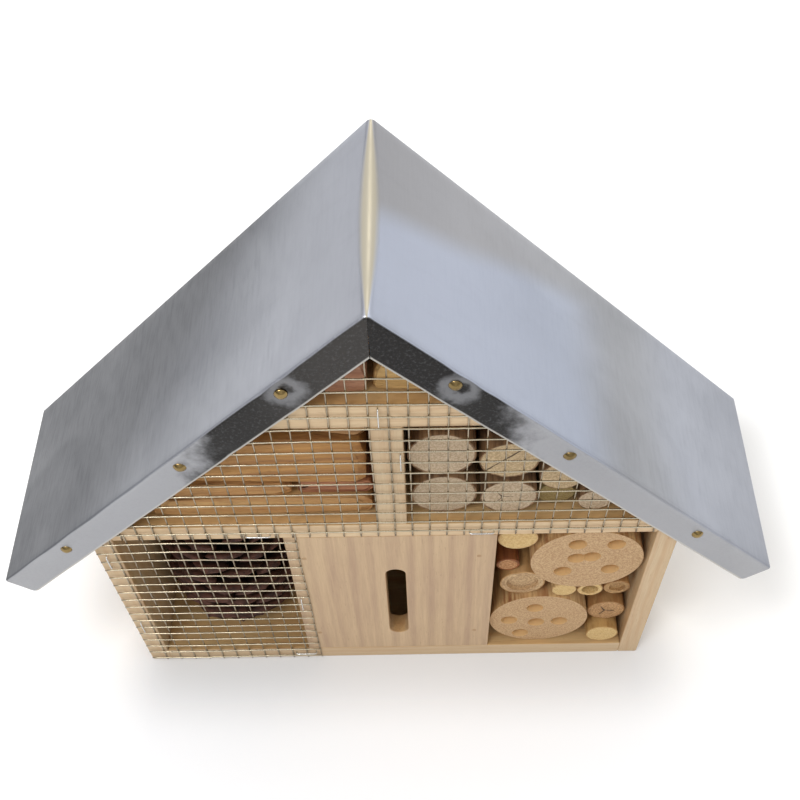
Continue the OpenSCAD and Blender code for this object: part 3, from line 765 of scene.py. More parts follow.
class HOTEL_OT_boards(Build):
    """Saws the floor, walls, shelves and partitions as eased boards."""

    bl_idname = "hotel.boards"
    bl_label = "Boards of the box"

    def make(self):
        s = sizes("boards")
        yellow = times(0.85, s.pale)
        for node, pale, grain, shift, contrast, slot in (
            ("floor_board", yellow, "X", 0.31, 0.6, "box_wood"),
            ("middle_shelf", s.pale, "X", 1.77, 0.55, "shelf_wood"),
            ("upper_shelf", s.pale, "X", 2.9, 0.55, "shelf_wood"),
            ("upper_partition", yellow, "Z", 4.1, 0.55, "shelf_wood"),
            ("left_partition", yellow, "Z", 5.3, 0.8, "box_wood"),
            ("right_partition", yellow, "Z", 6.7, 0.8, "box_wood"),
            ("left_wall", yellow, "Z", 7.9, 0.7, "box_wood"),
            ("right_wall", yellow, "Z", 9.2, 0.7, "box_wood"),
        ):
            lo, hi = box_of(node)
            outline = self.wall(lo, hi) if "wall" in node else self.outline(lo, hi)
            wood = plank_material(node, pale, s.dark, grain, shift, contrast)
            piece(node + "_board", slab(outline, lo[1], hi[1], s.ease), wood, [node])
        wood = plank_material("back_panel", s.back_pale, s.back_dark, "Z", 3.3, 0.9, 120.0)
        finish_node("back_panel", wood)

    def outline(self, lo, hi):
        """Front outline of a board: its box, or under the roof's slope its box with the upper
        ends cut at 45 degrees."""
        half_top = box_of("back_panel")[1][2] - hi[2]
        low = [(lo[0], lo[2]), (hi[0], lo[2])]
        if abs(lo[0] + hi[0]) < 1 * MM and half_top < hi[0] - 0.1 * MM:
            return low + [(half_top, hi[2]), (-half_top, hi[2])]
        return low + [(hi[0], hi[2]), (lo[0], hi[2])]

    def wall(self, lo, hi):
        """Front outline of a side wall, whose top follows the roof's slope."""
        top = box_of("back_panel")[1][2]
        return [(lo[0], 0), (hi[0], 0), (hi[0], top - abs(hi[0])), (lo[0], top - abs(lo[0]))]


class HOTEL_OT_entrance(Build):
    """Cuts the entrance panel with its round-ended slot and eased edges."""

    bl_idname = "hotel.entrance"
    bl_label = "Entrance panel"

    def make(self):
        s = sizes("boards")
        lo, hi = box_of("entrance_panel")
        centre = np.array([(lo[0] + hi[0]) / 2 + 1 * MM, (lo[2] + hi[2]) / 2 - 5.5 * MM])
        shape = self.slotted(lo, hi, centre, 4 * MM, 24.5 * MM, s.ease)
        wood = plank_material("entrance_panel", s.panel_pale, s.panel_dark, "Z", 11.4, 0.85,
                              130.0, 0.0035)
        piece("entrance_front", shape, wood, ["entrance_panel"])

    def slotted(self, lo, hi, centre, radius, half, ease):
        """A board with a slot, as one closed ring: rays from the slot's middle meet the board's
        edge at the nearer of its four sides, and the slot at its straight side x = radius or on
        its end circle, at half|sin| + sqrt(radius^2 - half^2 cos^2). Stations go over the outer
        edge from front to back and return through the slot."""
        edge = np.array([(x, z) for x in (lo[0], hi[0]) for z in (lo[2], hi[2])]) - centre
        corners = np.arctan2(edge[:, 1], edge[:, 0]) % (2 * np.pi)
        tip = math.atan2(half, radius)
        ends = np.linspace(tip, np.pi - tip, 25)
        even = np.linspace(0, 2 * np.pi, 96, endpoint=False)
        angle = np.unique(np.concatenate([even, corners, ends, ends + np.pi]))
        c, n = np.cos(angle), np.sin(angle)
        flat_c, flat_n = np.maximum(abs(c), 1e-9), np.maximum(abs(n), 1e-9)

        def outer(d):
            x = np.where(c > 0, hi[0] - d - centre[0], centre[0] - lo[0] - d)
            z = np.where(n > 0, hi[2] - d - centre[1], centre[1] - lo[2] - d)
            return np.minimum(x / flat_c, z / flat_n)

        def inner(d):
            r = radius + d
            side = r / flat_c
            end = half * abs(n) + np.sqrt(np.maximum(r * r - (half * c) ** 2, 0))
            return np.where(side * abs(n) <= half, side, end)

        inset, y = eased_stations(lo[1], hi[1], ease)
        reach = [outer(d) for d in inset] + [inner(d) for d in inset[::-1]]
        t = np.array(reach + [reach[0]])
        y = np.concatenate([y, y[::-1], y[:1]])
        rings = np.stack([centre[0] + t * c, np.broadcast_to(y[:, None], t.shape),
                          centre[1] + t * n], -1)
        m, k = rings.shape[0] - 1, rings.shape[1]
        index = np.vstack([np.arange(m * k).reshape(m, k), np.arange(k)])
        a, b = index[:-1], index[1:]
        return Shape(rings[:-1], [quads(a, np.roll(a, -1, 1), np.roll(b, -1, 1), b)]).outward()


def roof_apex():
    """Height at which the outer faces of the slopes would meet without the ridge's bend."""
    return box_of("roof_sheet")[1][2] + (DIAGONAL - 1) * 2 * MM


def on_slope(s, n, apex):
    """The point (x, z) s down the right slope from the apex and n under its outer face."""
    return np.stack([(s - n) * SLANT, apex - (s + n) * SLANT], -1)


NAIL_LINE = 4.75 * MM  # of the roof nails, under the slope's outer face


class HOTEL_OT_roof(Build):
    """Folds the sheet roof with its soft ridge, flanges and dents, and lays its boards."""

    bl_idname = "hotel.roof"
    bl_label = "Roof sheet and boards"

    top_nail = 42 * MM
    lower_nick = (80 * MM, 11 * MM)

    def make(self):
        s = sizes("roof")
        hi = box_of("roof_sheet")[1]
        self.half_y = hi[1]
        self.apex = roof_apex()
        self.slope = hi[0] * DIAGONAL
        self.nail = on_slope(np.array(self.top_nail), np.array(NAIL_LINE), self.apex)
        both = together([self.half(side, s) for side in (-1, 1)])
        corners, inverse = np.unique(np.round(both.corners, 7), axis=0, return_inverse=True)
        faces = [inverse.ravel()[f] for f in both.faces]
        piece("folded_roof", Shape(corners, faces).outward(), self.sheet_material(s),
              ["roof_sheet"], crease=50)
        self.boards(s)

    def ridge_point(self, s, n, bend):
        """The point s down the slope and n under its face, with the ridge carried round an arc
        of the given bend radius: within one radius of the ridge the angle from the upright is
        45 degrees times s over the radius."""
        angle = np.clip(s / bend, 0, 1) * math.pi / 4
        x = (bend - n) * np.sin(angle)
        z = self.apex - bend * DIAGONAL + (bend - n) * np.cos(angle)
        return np.where((s < bend)[..., None], np.stack([x, z], -1), on_slope(s, n, self.apex))

    def half(self, side, s):
        """One half of the roof as a closed shell: rows run from the front flange's lower edge
        over the fold, along the slope and down the rear flange; columns run from the ridge to
        the eave. Each point is the outer face's, and the inner face is the sheet's thickness
        under it."""
        w, fold, deep = s.flange, s.fold, 2 * self.half_y
        share = np.linspace(0, 1, 11)[:-1]
        turn = np.radians(np.linspace(0, 90, 6))
        down = np.concatenate([w - (w - fold) * share, fold * (1 - np.sin(turn))])
        out = np.concatenate([np.zeros(len(share)), fold * (1 - np.cos(turn))])
        run = np.linspace(fold, deep - fold, 34)[1:-1]
        level = np.zeros(len(run))
        upright = np.ones(len(share))
        n = np.concatenate([down, level, down[::-1]])
        y = -self.half_y + np.concatenate([out, run, deep - out[::-1]])
        cosine = np.cos(turn)
        face = np.concatenate([upright, cosine, level, -cosine[::-1], -upright])
        near = np.linspace(0, 1, 9) * 5.2 * MM
        middle = np.linspace(5.2 * MM, self.slope - 2.2 * MM, 92)[1:]
        eave = self.slope - np.array([1.6, 1.1, 0.7, 0.35, 0.12, 0]) * MM
        far = np.concatenate([near, middle, eave])
        along = np.broadcast_to(far[None], (len(n), len(far)))
        arch = np.sin(np.pi * np.clip((y + self.half_y) / deep, 0, 1)) ** 1.3
        bend = np.maximum(s.bend_ends + (s.bend_middle - s.bend_ends) * arch, 1e-6)[:, None]
        start = w + 0.15 * MM * DIAGONAL
        corner, eased = 2 * MM, far[None] - (self.slope - 2 * MM)
        cut = corner - np.sqrt(np.maximum(corner ** 2 - np.clip(eased, 0, corner) ** 2, 0))
        low = on_slope(start + far[None] / self.slope * (self.slope - start), w - cut, self.apex)
        mix = np.clip(n / w, 0, 1)[:, None, None]
        shells = []
        for under in (0.0, s.thickness):
            top = self.ridge_point(along, under, bend)
            flat = np.where(abs(face)[:, None, None] > 0, top * (1 - mix) + low * mix, top)
            yy = y[:, None] + face[:, None] * under + self.dents(flat, face, side, s)
            shells.append(np.stack([side * flat[..., 0], yy, flat[..., 1]], -1))
        corners = np.concatenate([shell.reshape(-1, 3) for shell in shells])
        return Shape(corners, self.shell_faces(len(n), len(far), len(share) + 5)).outward()

    def shell_faces(self, m, k, edge):
        """Faces of the outer and inner grid and of the strips that join them, at the eave, both
        flange edges, and the ridge ends of the flanges."""
        a = np.arange(m * k).reshape(m, k)
        b = a + m * k
        return [
            quads(a[:-1, :-1], a[:-1, 1:], a[1:, 1:], a[1:, :-1]),
            quads(b[:-1, :-1], b[1:, :-1], b[1:, 1:], b[:-1, 1:]),
            quads(a[:-1, -1], b[:-1, -1], b[1:, -1], a[1:, -1]),
            quads(a[0, :-1], b[0, :-1], b[0, 1:], a[0, 1:]),
            quads(a[-1, :-1], a[-1, 1:], b[-1, 1:], b[-1, :-1]),
            quads(a[:edge, 0], a[1:edge + 1, 0], b[1:edge + 1, 0], b[:edge, 0]),
            quads(a[-edge - 1:-1, 0], a[-edge:, 0], b[-edge:, 0], b[-edge - 1:-1, 0]),
        ]

    def dents(self, flat, face, side, s):
        """How far the flange stands in or out: a ring-shaped hammer dent round the top nail, a
        small one at the lower edge of the left flange, and slow waves along the flange."""
        x, z = flat[..., 0], flat[..., 1]
        d = np.hypot(x - self.nail[0], z - self.nail[1])
        ring = bell(d - 7 * MM, 3 * MM) - 0.8 * bell(d, 3.4 * MM)
        nick = on_slope(*(np.array(v) for v in self.lower_nick), self.apex)
        nick = bell(np.hypot(x - nick[0], z - nick[1]), 2.6 * MM) * (side < 0)
        wave = ripple(x * 60, z * 60, 5 + side, 6, 1, 3) * 0.35
        lift = s.dent * (0.7 * ring + wave - nick)
        return lift * -np.sign(face)[:, None] * (abs(face)[:, None] > 0.7)

    def boards(self, s):
        """The two roof boards under the sheet, their ridge edges planed off under the soft
        bend."""
        b = sizes("boards")
        clear = 0.05 * MM
        thick = 8.5 * MM
        eave = on_slope(np.array([self.slope - 1 * MM] * 2),
                        np.array([s.thickness, s.thickness + thick]), self.apex)
        blunt = self.apex - 4.3 * MM
        under = self.apex - 9 * MM * DIAGONAL
        knee = self.apex - s.thickness * DIAGONAL - blunt
        for node, side, shift in (("left_roof_board", -1, 13.1), ("right_roof_board", 1, 14.6)):
            lo, hi = box_of(node)
            outline = [(0, under), (0, blunt), (side * knee, blunt)]
            outline += [(side * x, z) for x, z in eave]
            wood = plank_material(node, b.pale, b.dark, "Y", shift, 0.8)
            piece(node + "_under", slab(outline, lo[1] + clear, hi[1] - clear, b.ease), wood,
                  [node])

    def sheet_material(self, s):
        """Bare sheet: half-bright slopes with a painted reflection of the room, flanges with a
        painted reflection that goes from dark and mottled under the ridge to light at the eaves,
        a painted highlight along the soft ridge, and a light lip along their lower edge that is a
        painted highlight."""
        g = material("roof_sheet", metallic=1.0)
        out = g.group("Bare metal", Vector=g.place, Base=s.sheet, Stain=times(0.62, s.sheet),
                      Stains=0.12, Shine=0.36)
        x, y, z = g.parts(g.place)
        nx, ny, nz = g.facing()
        flange = g.span(abs(ny), 0.6, 0.9)
        right = g.math("GREATER_THAN", x, 0.0)
        down = abs(x) / (self.slope * SLANT)
        front = (self.half_y - y) / (2 * self.half_y)
        cloud = (g.noise(g.place, 11, 2, 0.5) - 0.5) * 0.14
        # painted reflection: the slopes' and flanges' colour carries the room's reflection,
        # lighter and darker by place
        slopes = self.slope_tones(g, right, down + cloud, front + cloud)
        slopes = g.blend(flange, slopes, (0.84, 0.825, 0.8))
        colour = g.blend(1.0, out["Color"], slopes, "MULTIPLY")
        # painted highlight: the lens on the ridge is coloured with the glow colour and made less
        # metallic
        lens = self.ridge_lens(g, s, x, front, nz)
        colour = g.blend(lens, colour, s.glow)
        g.set(g.shader.inputs["Metallic"], 1.0 - lens * 0.95)
        # painted dark reflection on the flanges under the ridge, browner near the top, with a
        # painted bright ring round the top nail
        dark = self.tarnish(g, x, z, right, down) * flange
        brown = g.blend(g.span(down, 0.08, 0.3), times(1.9, s.tarnish), times(0.8, s.tarnish))
        colour = g.blend(dark, colour, g.blend(right, brown, times(0.7, s.tarnish)))
        # painted highlight: a light line along the flanges' lower edge
        depth = (self.apex - z - abs(x)) / DIAGONAL
        lip = g.span(depth, s.flange - 0.9 * MM, s.flange - 0.4 * MM, 0, 0.8) * flange
        colour = g.blend(lip, colour, (0.52, 0.5, 0.46))
        return g.finish(colour, out["Roughness"] - dark * 0.05, out["Height"], 0.3 * MM, 0.5)

    def slope_tones(self, g, right, down, front):
        """Painted reflection: how bright the room reflects in each slope, painted into the colour
        from the share of the way down and to the front. Left: light at the ridge, dark at the
        eave, and dark sooner at the rear. Right: warm grey at the rear, a bright cool patch at
        the front of the upper half, and cooler grey below."""
        left = g.span(down / (front * 0.5 + 0.38), -0.1, 1.0, 1.42, 0.33)
        left = g.value("CombineColor", left, left, left * 1.01)
        patch = g.span(front - (0.5 - down * 0.75), -0.09, 0.09)
        patch = patch * g.span(down, 0.42, 0.56, 1, 0)
        other = g.blend(g.span(down, 0.15, 0.6), (1.23, 1.2, 1.17), (0.87, 0.865, 0.855))
        other = g.blend(g.span(down, 0.6, 0.76), other, (0.91, 0.925, 0.97))
        cool = g.blend(g.span(down, 0.0, 0.55), (1.55, 1.62, 1.78), (1.1, 1.16, 1.28))
        other = g.blend(patch, other, cool)
        low = g.span(down, 0.75, 1.0, 0, 0.4) * front
        return g.blend(right, left, g.blend(low, other, (0.6, 0.6, 0.63)))

    def ridge_lens(self, g, s, x, front, nz):
        """The bright lens on the soft ridge, a painted highlight: its half width is the glow
        width times the sine of pi times the share of the way to the front, so it ends in a point
        at both gables."""
        wide = abs(g.math("SINE", g.math("MAXIMUM", front, 0.0) * math.pi))
        wide = wide * s.glow_width + 0.3 * MM
        return g.span(abs(x) / wide, 0.45, 1.1, 0.95, 0.0) * g.span(nz, 0.3, 0.6)

    def tarnish(self, g, x, z, right, down):
        """Painted dark reflection: near-black under the ridge, as far as a share of the way down
        each flange, with fine pale speckles and a painted bright reflection ring where the top
        nail has dented the sheet."""
        ragged = down + (g.noise(g.place, 90, 4, 0.65) - 0.5) * 0.2
        dark = g.span(ragged - (0.4 - right * 0.09), -0.06, 0.05, 0.97, 0.0)
        d = g.distance(abs(x) - float(self.nail[0]), z - float(self.nail[1]))
        d = d + (g.noise(g.place, 180, 3, 0.6) - 0.5) * (7 * MM)
        ring = g.span(d, 1.5 * MM, 3.5 * MM) * g.span(d, 4.5 * MM, 8.5 * MM, 1, 0)
        speckle = g.span(g.noise(g.place, 900, 3, 0.7), 0.48, 0.75, 0, 0.12)
        return dark * (1.0 - ring * 0.45) * (1.0 - speckle)


class HOTEL_OT_roof_nails(Build):
    """Drives the domed nails through both flanges."""

    bl_idname = "hotel.roof_nails"
    bl_label = "Roof nails"

    left = (44 * MM, 98 * MM, 173 * MM)
    right = (40 * MM, 94 * MM, 168.5 * MM)
    # The turned profile: share of the head's radius, and height as a share of its diameter.
    profile = ((0.15, 0.29), (0.35, 0.27), (0.55, 0.225), (0.75, 0.15), (0.9, 0.075),
               (0.98, 0.025), (1.0, 0.0), (0.97, -0.05), (0.5, -0.06), (0.35, -0.2),
               (0.34, -3.0), (0.33, -5.5))

    def make(self):
        s = sizes("roof")
        y, apex = box_of("roof_sheet")[1][1], roof_apex()
        shapes = []
        places = [(-1, down) for down in self.left] + [(1, down) for down in self.right]
        for i, (side, down) in enumerate(places):
            x, z = on_slope(down, NAIL_LINE, apex)
            for way in (-1, 1):
                shapes.append(self.nail(side * x, z, way, y, s.nail_head / 2, 10 * i + way))
        brass = metal_material("roof_nails", s.brass, (0.05, 0.032, 0.015), 0.95, 0.24, 0.05 * MM)
        piece("domed_nails", together(shapes), brass, ["roof_nails"])

    def nail(self, x, z, way, y, r, seed):
        """A turned nail: from the dome's pole out to its rim, under the head and down the
        shank. The dome is nicked by a slow ripple and leans a little."""
        lean = np.random.default_rng(seed + 100).uniform(-0.12, 0.12, 2)
        q, h = np.array(self.profile).T
        h = h * 2 * r
        a = np.linspace(0, 2 * np.pi, 28, endpoint=False)
        radius = r * q[:, None] * (1 + 0.03 * np.sin(2 * a + seed) - 0.03)
        dx, dz = radius * np.cos(a), radius * np.sin(a)
        dome = np.clip(h / (0.6 * r), 0, 1)[:, None]
        height = h[:, None] + dome * 0.05 * r * ripple(dx / r, dz / r, seed + 50, 5, 1, 4)
        height = height * (1 + 0.15 * (lean[0] * dx / r + lean[1] * dz / r)) * 0.97
        rings = np.stack([x + dx, y * way + way * height, z + dz], -1)
        return skin(rings, [x, way * (y + 0.29 * 2 * r), z], [x, way * (y - 11 * r), z])


COLUMN_FROM_PARTITION = 1.16 * MM  # of the gable mesh, from the partition's middle
ROW_FROM_SHELF = 1.07 * MM  # of the gable mesh, from the shelf's middle
FIRST_LOWER_ROW = 3.37 * MM  # height of the lower mesh's lowest wire
LOWER_MESH_LEFT = -104.5 * MM


def gable_wires():
    """Places of the upright and the level wire that the gable mesh is laid out from."""
    return (middle_of("upper_partition", 0) + COLUMN_FROM_PARTITION,
            middle_of("upper_shelf", 2) + ROW_FROM_SHELF)


class HOTEL_OT_wire(Build):
    """Bends the welded mesh over the gable and the lower left room out of round wires."""

    bl_idname = "hotel.wire"
    bl_label = "Wire mesh"

    def make(self):
        s = sizes("wire")
        rows_zinc = self.zinc("mesh_rows", s.galvanised)
        # painted shade: the uprights get a darker copy of the rows' wire
        shaded_uprights_zinc = self.zinc("mesh_uprights", s.dull)
        roof = box_of("back_panel")[1][2] - 0.3 * MM * DIAGONAL
        x0, z0 = gable_wires()
        lo, hi = box_of("gable_mesh")
        columns = self.places(x0, lo[0], hi[0], s)
        rows = self.places(z0, lo[2] + s.wire, roof - 12 * MM, s)
        gable = self.net(columns, rows, lo, hi, roof, s, 1)
        lo, hi = box_of("lower_mesh")
        columns = self.places(hi[0] - s.wire / 2, LOWER_MESH_LEFT, hi[0] + MM, s)
        rows = self.places(FIRST_LOWER_ROW, lo[2], hi[2], s)
        lower = self.net(columns, rows, lo, hi, None, s, 2.2)
        for name, (across, upright) in (("gable", gable), ("lower", lower)):
            piece(name + "_rows", across, rows_zinc, [name + "_mesh"])
            piece(name + "_uprights", upright, shaded_uprights_zinc)

    def zinc(self, name, base):
        return metal_material(name, base, (0.2, 0.165, 0.115), 0.8, 0.24, 0.04 * MM, 4)

    def places(self, start, low, high, s):
        """Wire places a pitch apart through start, between two limits."""
        first = math.ceil((low + s.wire / 2 - start) / s.pitch)
        last = math.floor((high - s.wire / 2 - start) / s.pitch)
        return start + np.arange(first, last + 1) * s.pitch

    def stations(self, start, end):
        return np.linspace(start, end, max(4, int((end - start) / (2.1 * MM))))

    def net(self, columns, rows, lo, hi, roof, s, slack):
        """Rows in front and uprights behind, each wire a tube whose line wanders by a slow
        ripple; under the roof a wire ends where its top meets the slope |x| + z = roof."""
        r, bow = s.wire / 2, s.bow * slack
        across, upright = [], []
        for i, z in enumerate(rows):
            end = hi[0] if roof is None else min(hi[0], roof - z - r)
            start = lo[0] if roof is None else -end
            x = self.stations(start, end)
            free = np.sin(np.pi * np.clip((x - start) / (end - start), 0, 1)) ** 0.7
            dz = bow * free * ripple(x * 45, z * 25, 3, 6, 0.4, 2.2)
            dz = dz + 0.09 * MM * ripple(x * 700, z * 0, 40 + i, 5, 1, 3)
            dy = 0.04 * MM * (1 + ripple(x * 400, z * 90, 11 + i, 5, 1, 2))
            across.append(tube(np.stack([x, lo[1] + r + dy, z + dz], -1), r))
        for i, x in enumerate(columns):
            top = hi[2] if roof is None else min(hi[2], roof - abs(x) - r)
            if top - lo[2] < 3 * MM:
                continue
            z = self.stations(lo[2], top)
            dx = bow * 0.6 * ripple(z * 45, x * 25, 8, 6, 0.4, 2.2)
            dx = dx + 0.07 * MM * ripple(z * 700, x * 0, 80 + i, 5, 1, 3)
            upright.append(tube(np.stack([x + dx, np.full_like(z, hi[1] - r), z], -1), r))
        nets = together(across), together(upright)
        for net in nets:
            net.corners = np.clip(net.corners, lo, hi)
        return nets


class HOTEL_OT_staples(Build):
    """Bends the staples that hold the mesh down."""

    bl_idname = "hotel.staples"
    bl_label = "Staples"

    half, bend = 4.45 * MM, 0.8 * MM

    def make(self):
        s = sizes("wire")
        lo, hi = box_of("staples")
        shapes = [self.staple(x, z, upright, lo[1], hi[1]) for x, z, upright in self.spots(s)]
        wire = metal_material("staple_wire", s.bright, (0.4, 0.38, 0.34), 0.4, 0.22, 0.03 * MM)
        piece("bent_staples", together(shapes), wire, ["staples"])

    def spots(self, s):
        """Middle of each staple and whether it stands upright. Each sits between the wires next
        to the point it was aimed at: pair is the nearest wire, cell the nearest gap."""
        pitch = s.pitch

        def pair(v, start):
            return start + round((v - start) / pitch) * pitch

        def cell(v, start):
            return start + (math.floor((v - start) / pitch) + 0.5) * pitch

        loft = middle_of("upper_partition", 0)
        loft_top = box_of("upper_partition")[1][2]
        column, row = gable_wires()
        shelf = box_of("middle_shelf")[0][2]
        lower = box_of("lower_mesh")[1][0] - s.wire / 2
        wall = middle_of("left_wall", 0)
        ground = box_of("floor_board")[1][2]
        panel = box_of("entrance_panel")[0][0]
        low_row = row - math.floor((row - (shelf + 3 * MM)) / pitch) * pitch - 1.9 * MM
        base = FIRST_LOWER_ROW
        return [
            (pair(-46 * MM, column), low_row, False),
            (pair(35 * MM, column), low_row, False),
            (cell(loft - 2 * MM, column), row - 0.5 * MM, True),
            (cell(loft + 3.5 * MM, column), pair(loft_top - 22 * MM, row), True),
            (wall - 0.4 * MM, pair(shelf - 12 * MM, base), True),
            (wall - 0.6 * MM, pair(ground + 24 * MM, base), True),
            (cell(panel + 2 * MM, lower), pair(ground + 46 * MM, base), True),
            (pair(panel, lower), cell(ground / 2, base) - 0.5 * MM, False),
        ]

    def staple(self, x, z, upright, y0, y1):
        """A flat wire from one leg's point round two tight bends to the other: the legs run
        along Y, the crown along X or Z, and the bends are quarter circles."""
        half, bend = self.half, self.bend
        a = np.radians(np.linspace(0, 90, 5))
        front = y0 + 0.26 * MM
        leg = np.linspace(y1 - 0.2 * MM, y0 + 0.25 * MM + bend, 4)[:-1]
        u = np.concatenate([np.full(3, -half), -half + bend * (1 - np.cos(a))])
        y = np.concatenate([leg, front + bend * (1 - np.sin(a))])
        crown = np.linspace(-half + bend, half - bend, 7)[1:-1]
        arch = front + 0.06 * MM * (crown / half) ** 2
        u = np.concatenate([u, crown, -u[::-1]])
        y = np.concatenate([y, arch, y[::-1]])
        flat = np.zeros_like(u)
        along, up = ((flat, u), (1, 0, 0)) if upright else ((u, flat), (0, 0, 1))
        path = np.stack([x + along[0], y, z + along[1]], -1)
        return tube(path, 0.34 * MM, 10, 0.74, up)


class HOTEL_OT_nails(Build):
    """Gives the brads and the box's nails their plain steel."""

    bl_idname = "hotel.nails"
    bl_label = "Brads and nails"

    proud = 0.08 * MM

    def make(self):
        steel = metal_material("nail_steel", tone(112, 104, 94), tone(70, 46, 30), 0.8, 0.45,
                               0.04 * MM, 3, 0.9)
        rusty = metal_material("rusty_brads", tone(186, 154, 116), tone(140, 104, 72), 0.8, 0.5,
                               0.04 * MM, 3, 0.0)
        finish_node("back_nails", steel)
        for name, node, axis, way, metal in (
            ("carcass_heads", "carcass_nails", 0, 1, steel),
            ("brad_heads", "panel_brads", 1, -1, rusty),
        ):
            piece(name, self.moved_out(node, axis, way), metal, [node], crease=40)

    def moved_out(self, node, axis, way):
        """The node's own nails, moved a little out of the boards along an axis: on X away from
        the middle, and on Y to the front."""
        data = frame["nodes"][node].data
        corners = np.array([v.co[:] for v in data.vertices])
        side = np.sign(corners[:, 0]) if axis == 0 else 1
        corners[:, axis] += way * side * self.proud
        return Shape(corners, [np.array([p.vertices[:]]) for p in data.polygons])


class Stick:
    """Sawn sticks: a round piece along Y between the node's front and rear."""

    def stick(self, node, seed, wobble=0.03, facets=44, knots=(), bore=None, dish=0.0):
        """Rings carried along Y. The radius is the node's, less a ripple of up to wobble in
        angle and length, so it never passes the node's. The front face is rings of falling
        radius with a sawn ripple, and a bore goes in from it to bore = (share of radius,
        depth). Carried with it: cut, 1 on the sawn faces and in the bore; rim, the share of the
        radius; pith, the place measured from the stick's own axis."""
        lo, hi = box_of(node)
        cx, cz, r = (lo[0] + hi[0]) / 2, (lo[2] + hi[2]) / 2, (hi[2] - lo[2]) / 2
        y0, y1, rim = lo[1], hi[1], 0.35 * MM
        face = np.array([0.12, 0.28, 0.45, 0.62, 0.78, 0.9])
        if bore:
            face = bore[0] + (0.94 - bore[0]) * np.linspace(0.04, 1, 5)
        flat, side = len(face) + 1, np.linspace(0, 1, 15)
        near, nearer = 1 - rim / r, 1 - 0.3 * rim / r
        share = np.concatenate([face, [near, nearer], np.ones(15), [nearer, near], face[::-1]])
        y = np.concatenate([
            np.full(flat, y0), [y0 + 0.3 * rim], y0 + rim + side * (y1 - y0 - 2 * rim),
            [y1 - 0.3 * rim], np.full(flat, y1)])
        cut = np.concatenate([np.ones(flat), [0.5], np.zeros(15), [0.5], np.ones(flat)])
        if bore:
            deep = y0 + bore[1] * np.array([1, 1, 0.96, 0.5, 0.1, 0.02, 0.0])
            share = np.concatenate([[0.5 * bore[0], 0.9 * bore[0]], np.full(5, bore[0]), share])
            y = np.concatenate([deep, y])
            cut = np.concatenate([np.ones(7), cut])
        a = np.linspace(0, 2 * np.pi, facets, endpoint=False)[None]
        yy, q = y[:, None], share[:, None]
        swell = ripple(np.cos(a) * 1.4, np.sin(a) * 1.4 + yy * 14, seed, 7, 0.6, 2.2)
        swell = wobble * (0.5 + 0.5 * swell)
        for place, height in knots:
            swell = swell - height * bell(yy - y0 - place, 1.4 * MM) + height
        radius = r * q * (1 - np.clip(swell, 0, 0.3))
        dx, dz = radius * np.cos(a), radius * np.sin(a)
        rough = 1 + ripple(dx / r * 3, dz / r * 9, seed + 9, 7, 0.8, 3)
        rough = 0.22 * MM * rough * (q < 0.99) + dish * (1 - np.clip(q, 0, 1) ** 2)
        yy = yy + np.where(yy < y0 + 1 * MM, rough, 0)
        rings = np.stack([cx + dx, np.broadcast_to(yy, dx.shape), cz + dz], -1)
        own = np.stack([dx + 0.0001 * seed, rings[..., 1] + 0.013 * seed, dz], -1)
        ones = np.ones_like(dx)
        first = [cx, y[0] + (0 if bore else 0.22 * MM), cz]
        return skin(rings, first, [cx, y1, cz], cut=cut[:, None] * ones, rim=q * ones, pith=own)

    def stick_material(self, name, pale, ring, bark, dark, spacing=1.8 * MM, contrast=0.6,
                       arms=1.0, turn=0.0, crack=0.0, reach=0.01, skin_at=0.93, rough=0.5):
        """Sawn ends inside a thin skin, and the skin's own streaks on the sides."""
        g = material(name)
        pith = g.attribute("pith", "Vector")
        end = g.group("Sawn end", Vector=pith, Pale=pale, Dark=ring, Spacing=spacing,
                      Contrast=contrast, Arms=arms, Turn=turn, Crack=crack, Reach=reach)
        side = g.group("Bark", Vector=pith, Base=bark, Dark=dark, Rough=rough)
        edge = g.attribute("rim") + g.noise(g.place, 500, 2) * 0.05
        inside = g.span(g.attribute("cut"), 0.35, 0.65)
        inside = inside * g.span(edge, skin_at + 0.02, skin_at + 0.05, 1, 0)
        colour = g.blend(inside, side["Color"], end["Color"])
        height = end["Height"] * inside + side["Height"] * (1.0 - inside)
        return g.finish(colour, inside * 0.1 + side["Roughness"], height, 0.22 * MM, 0.7)


class HOTEL_OT_logs(Build):
    """Gives the two drilled logs their end grain and peeled sides."""

    bl_idname = "hotel.logs"
    bl_label = "Drilled logs"

    def make(self):
        s = sizes("filling")
        for node, spacing, turn in (
            ("drilled_log_upper", 2.2 * MM, 0.4), ("drilled_log_lower", 1.9 * MM, 1.2),
        ):
            lo, hi = box_of(node)
            centre = (lo + hi) / 2
            g = material(node)
            own = g.value("Mapping", g.place, (-centre[0], turn, -centre[2]))
            end = g.group("Sawn end", Vector=own, Pale=s.log_pale, Dark=s.log_dark,
                          Spacing=spacing, Contrast=0.34)
            side = g.group("Bark", Vector=own, Base=s.cane, Dark=s.bark, Rough=0.4)
            nx, ny, nz = g.facing()
            ends = g.span(abs(ny), 0.5, 0.8)
            x, y, z = g.parts(own)
            # painted light: the walls of the bores are coloured pale tan in place of the end
            # grain, standing in for light reaching into the holes
            painted_lit_bores = g.math("LESS_THAN", g.distance(x, z), (hi[2] - lo[2]) / 2 - 0.6 * MM)
            wood = g.blend(painted_lit_bores * (1.0 - ends), end["Color"], tone(224, 186, 132))
            colour = g.blend(g.math("MAXIMUM", ends, painted_lit_bores), side["Color"], wood)
            finish_node(node, g.finish(colour, end["Roughness"], end["Height"], 0.25 * MM, 0.7))


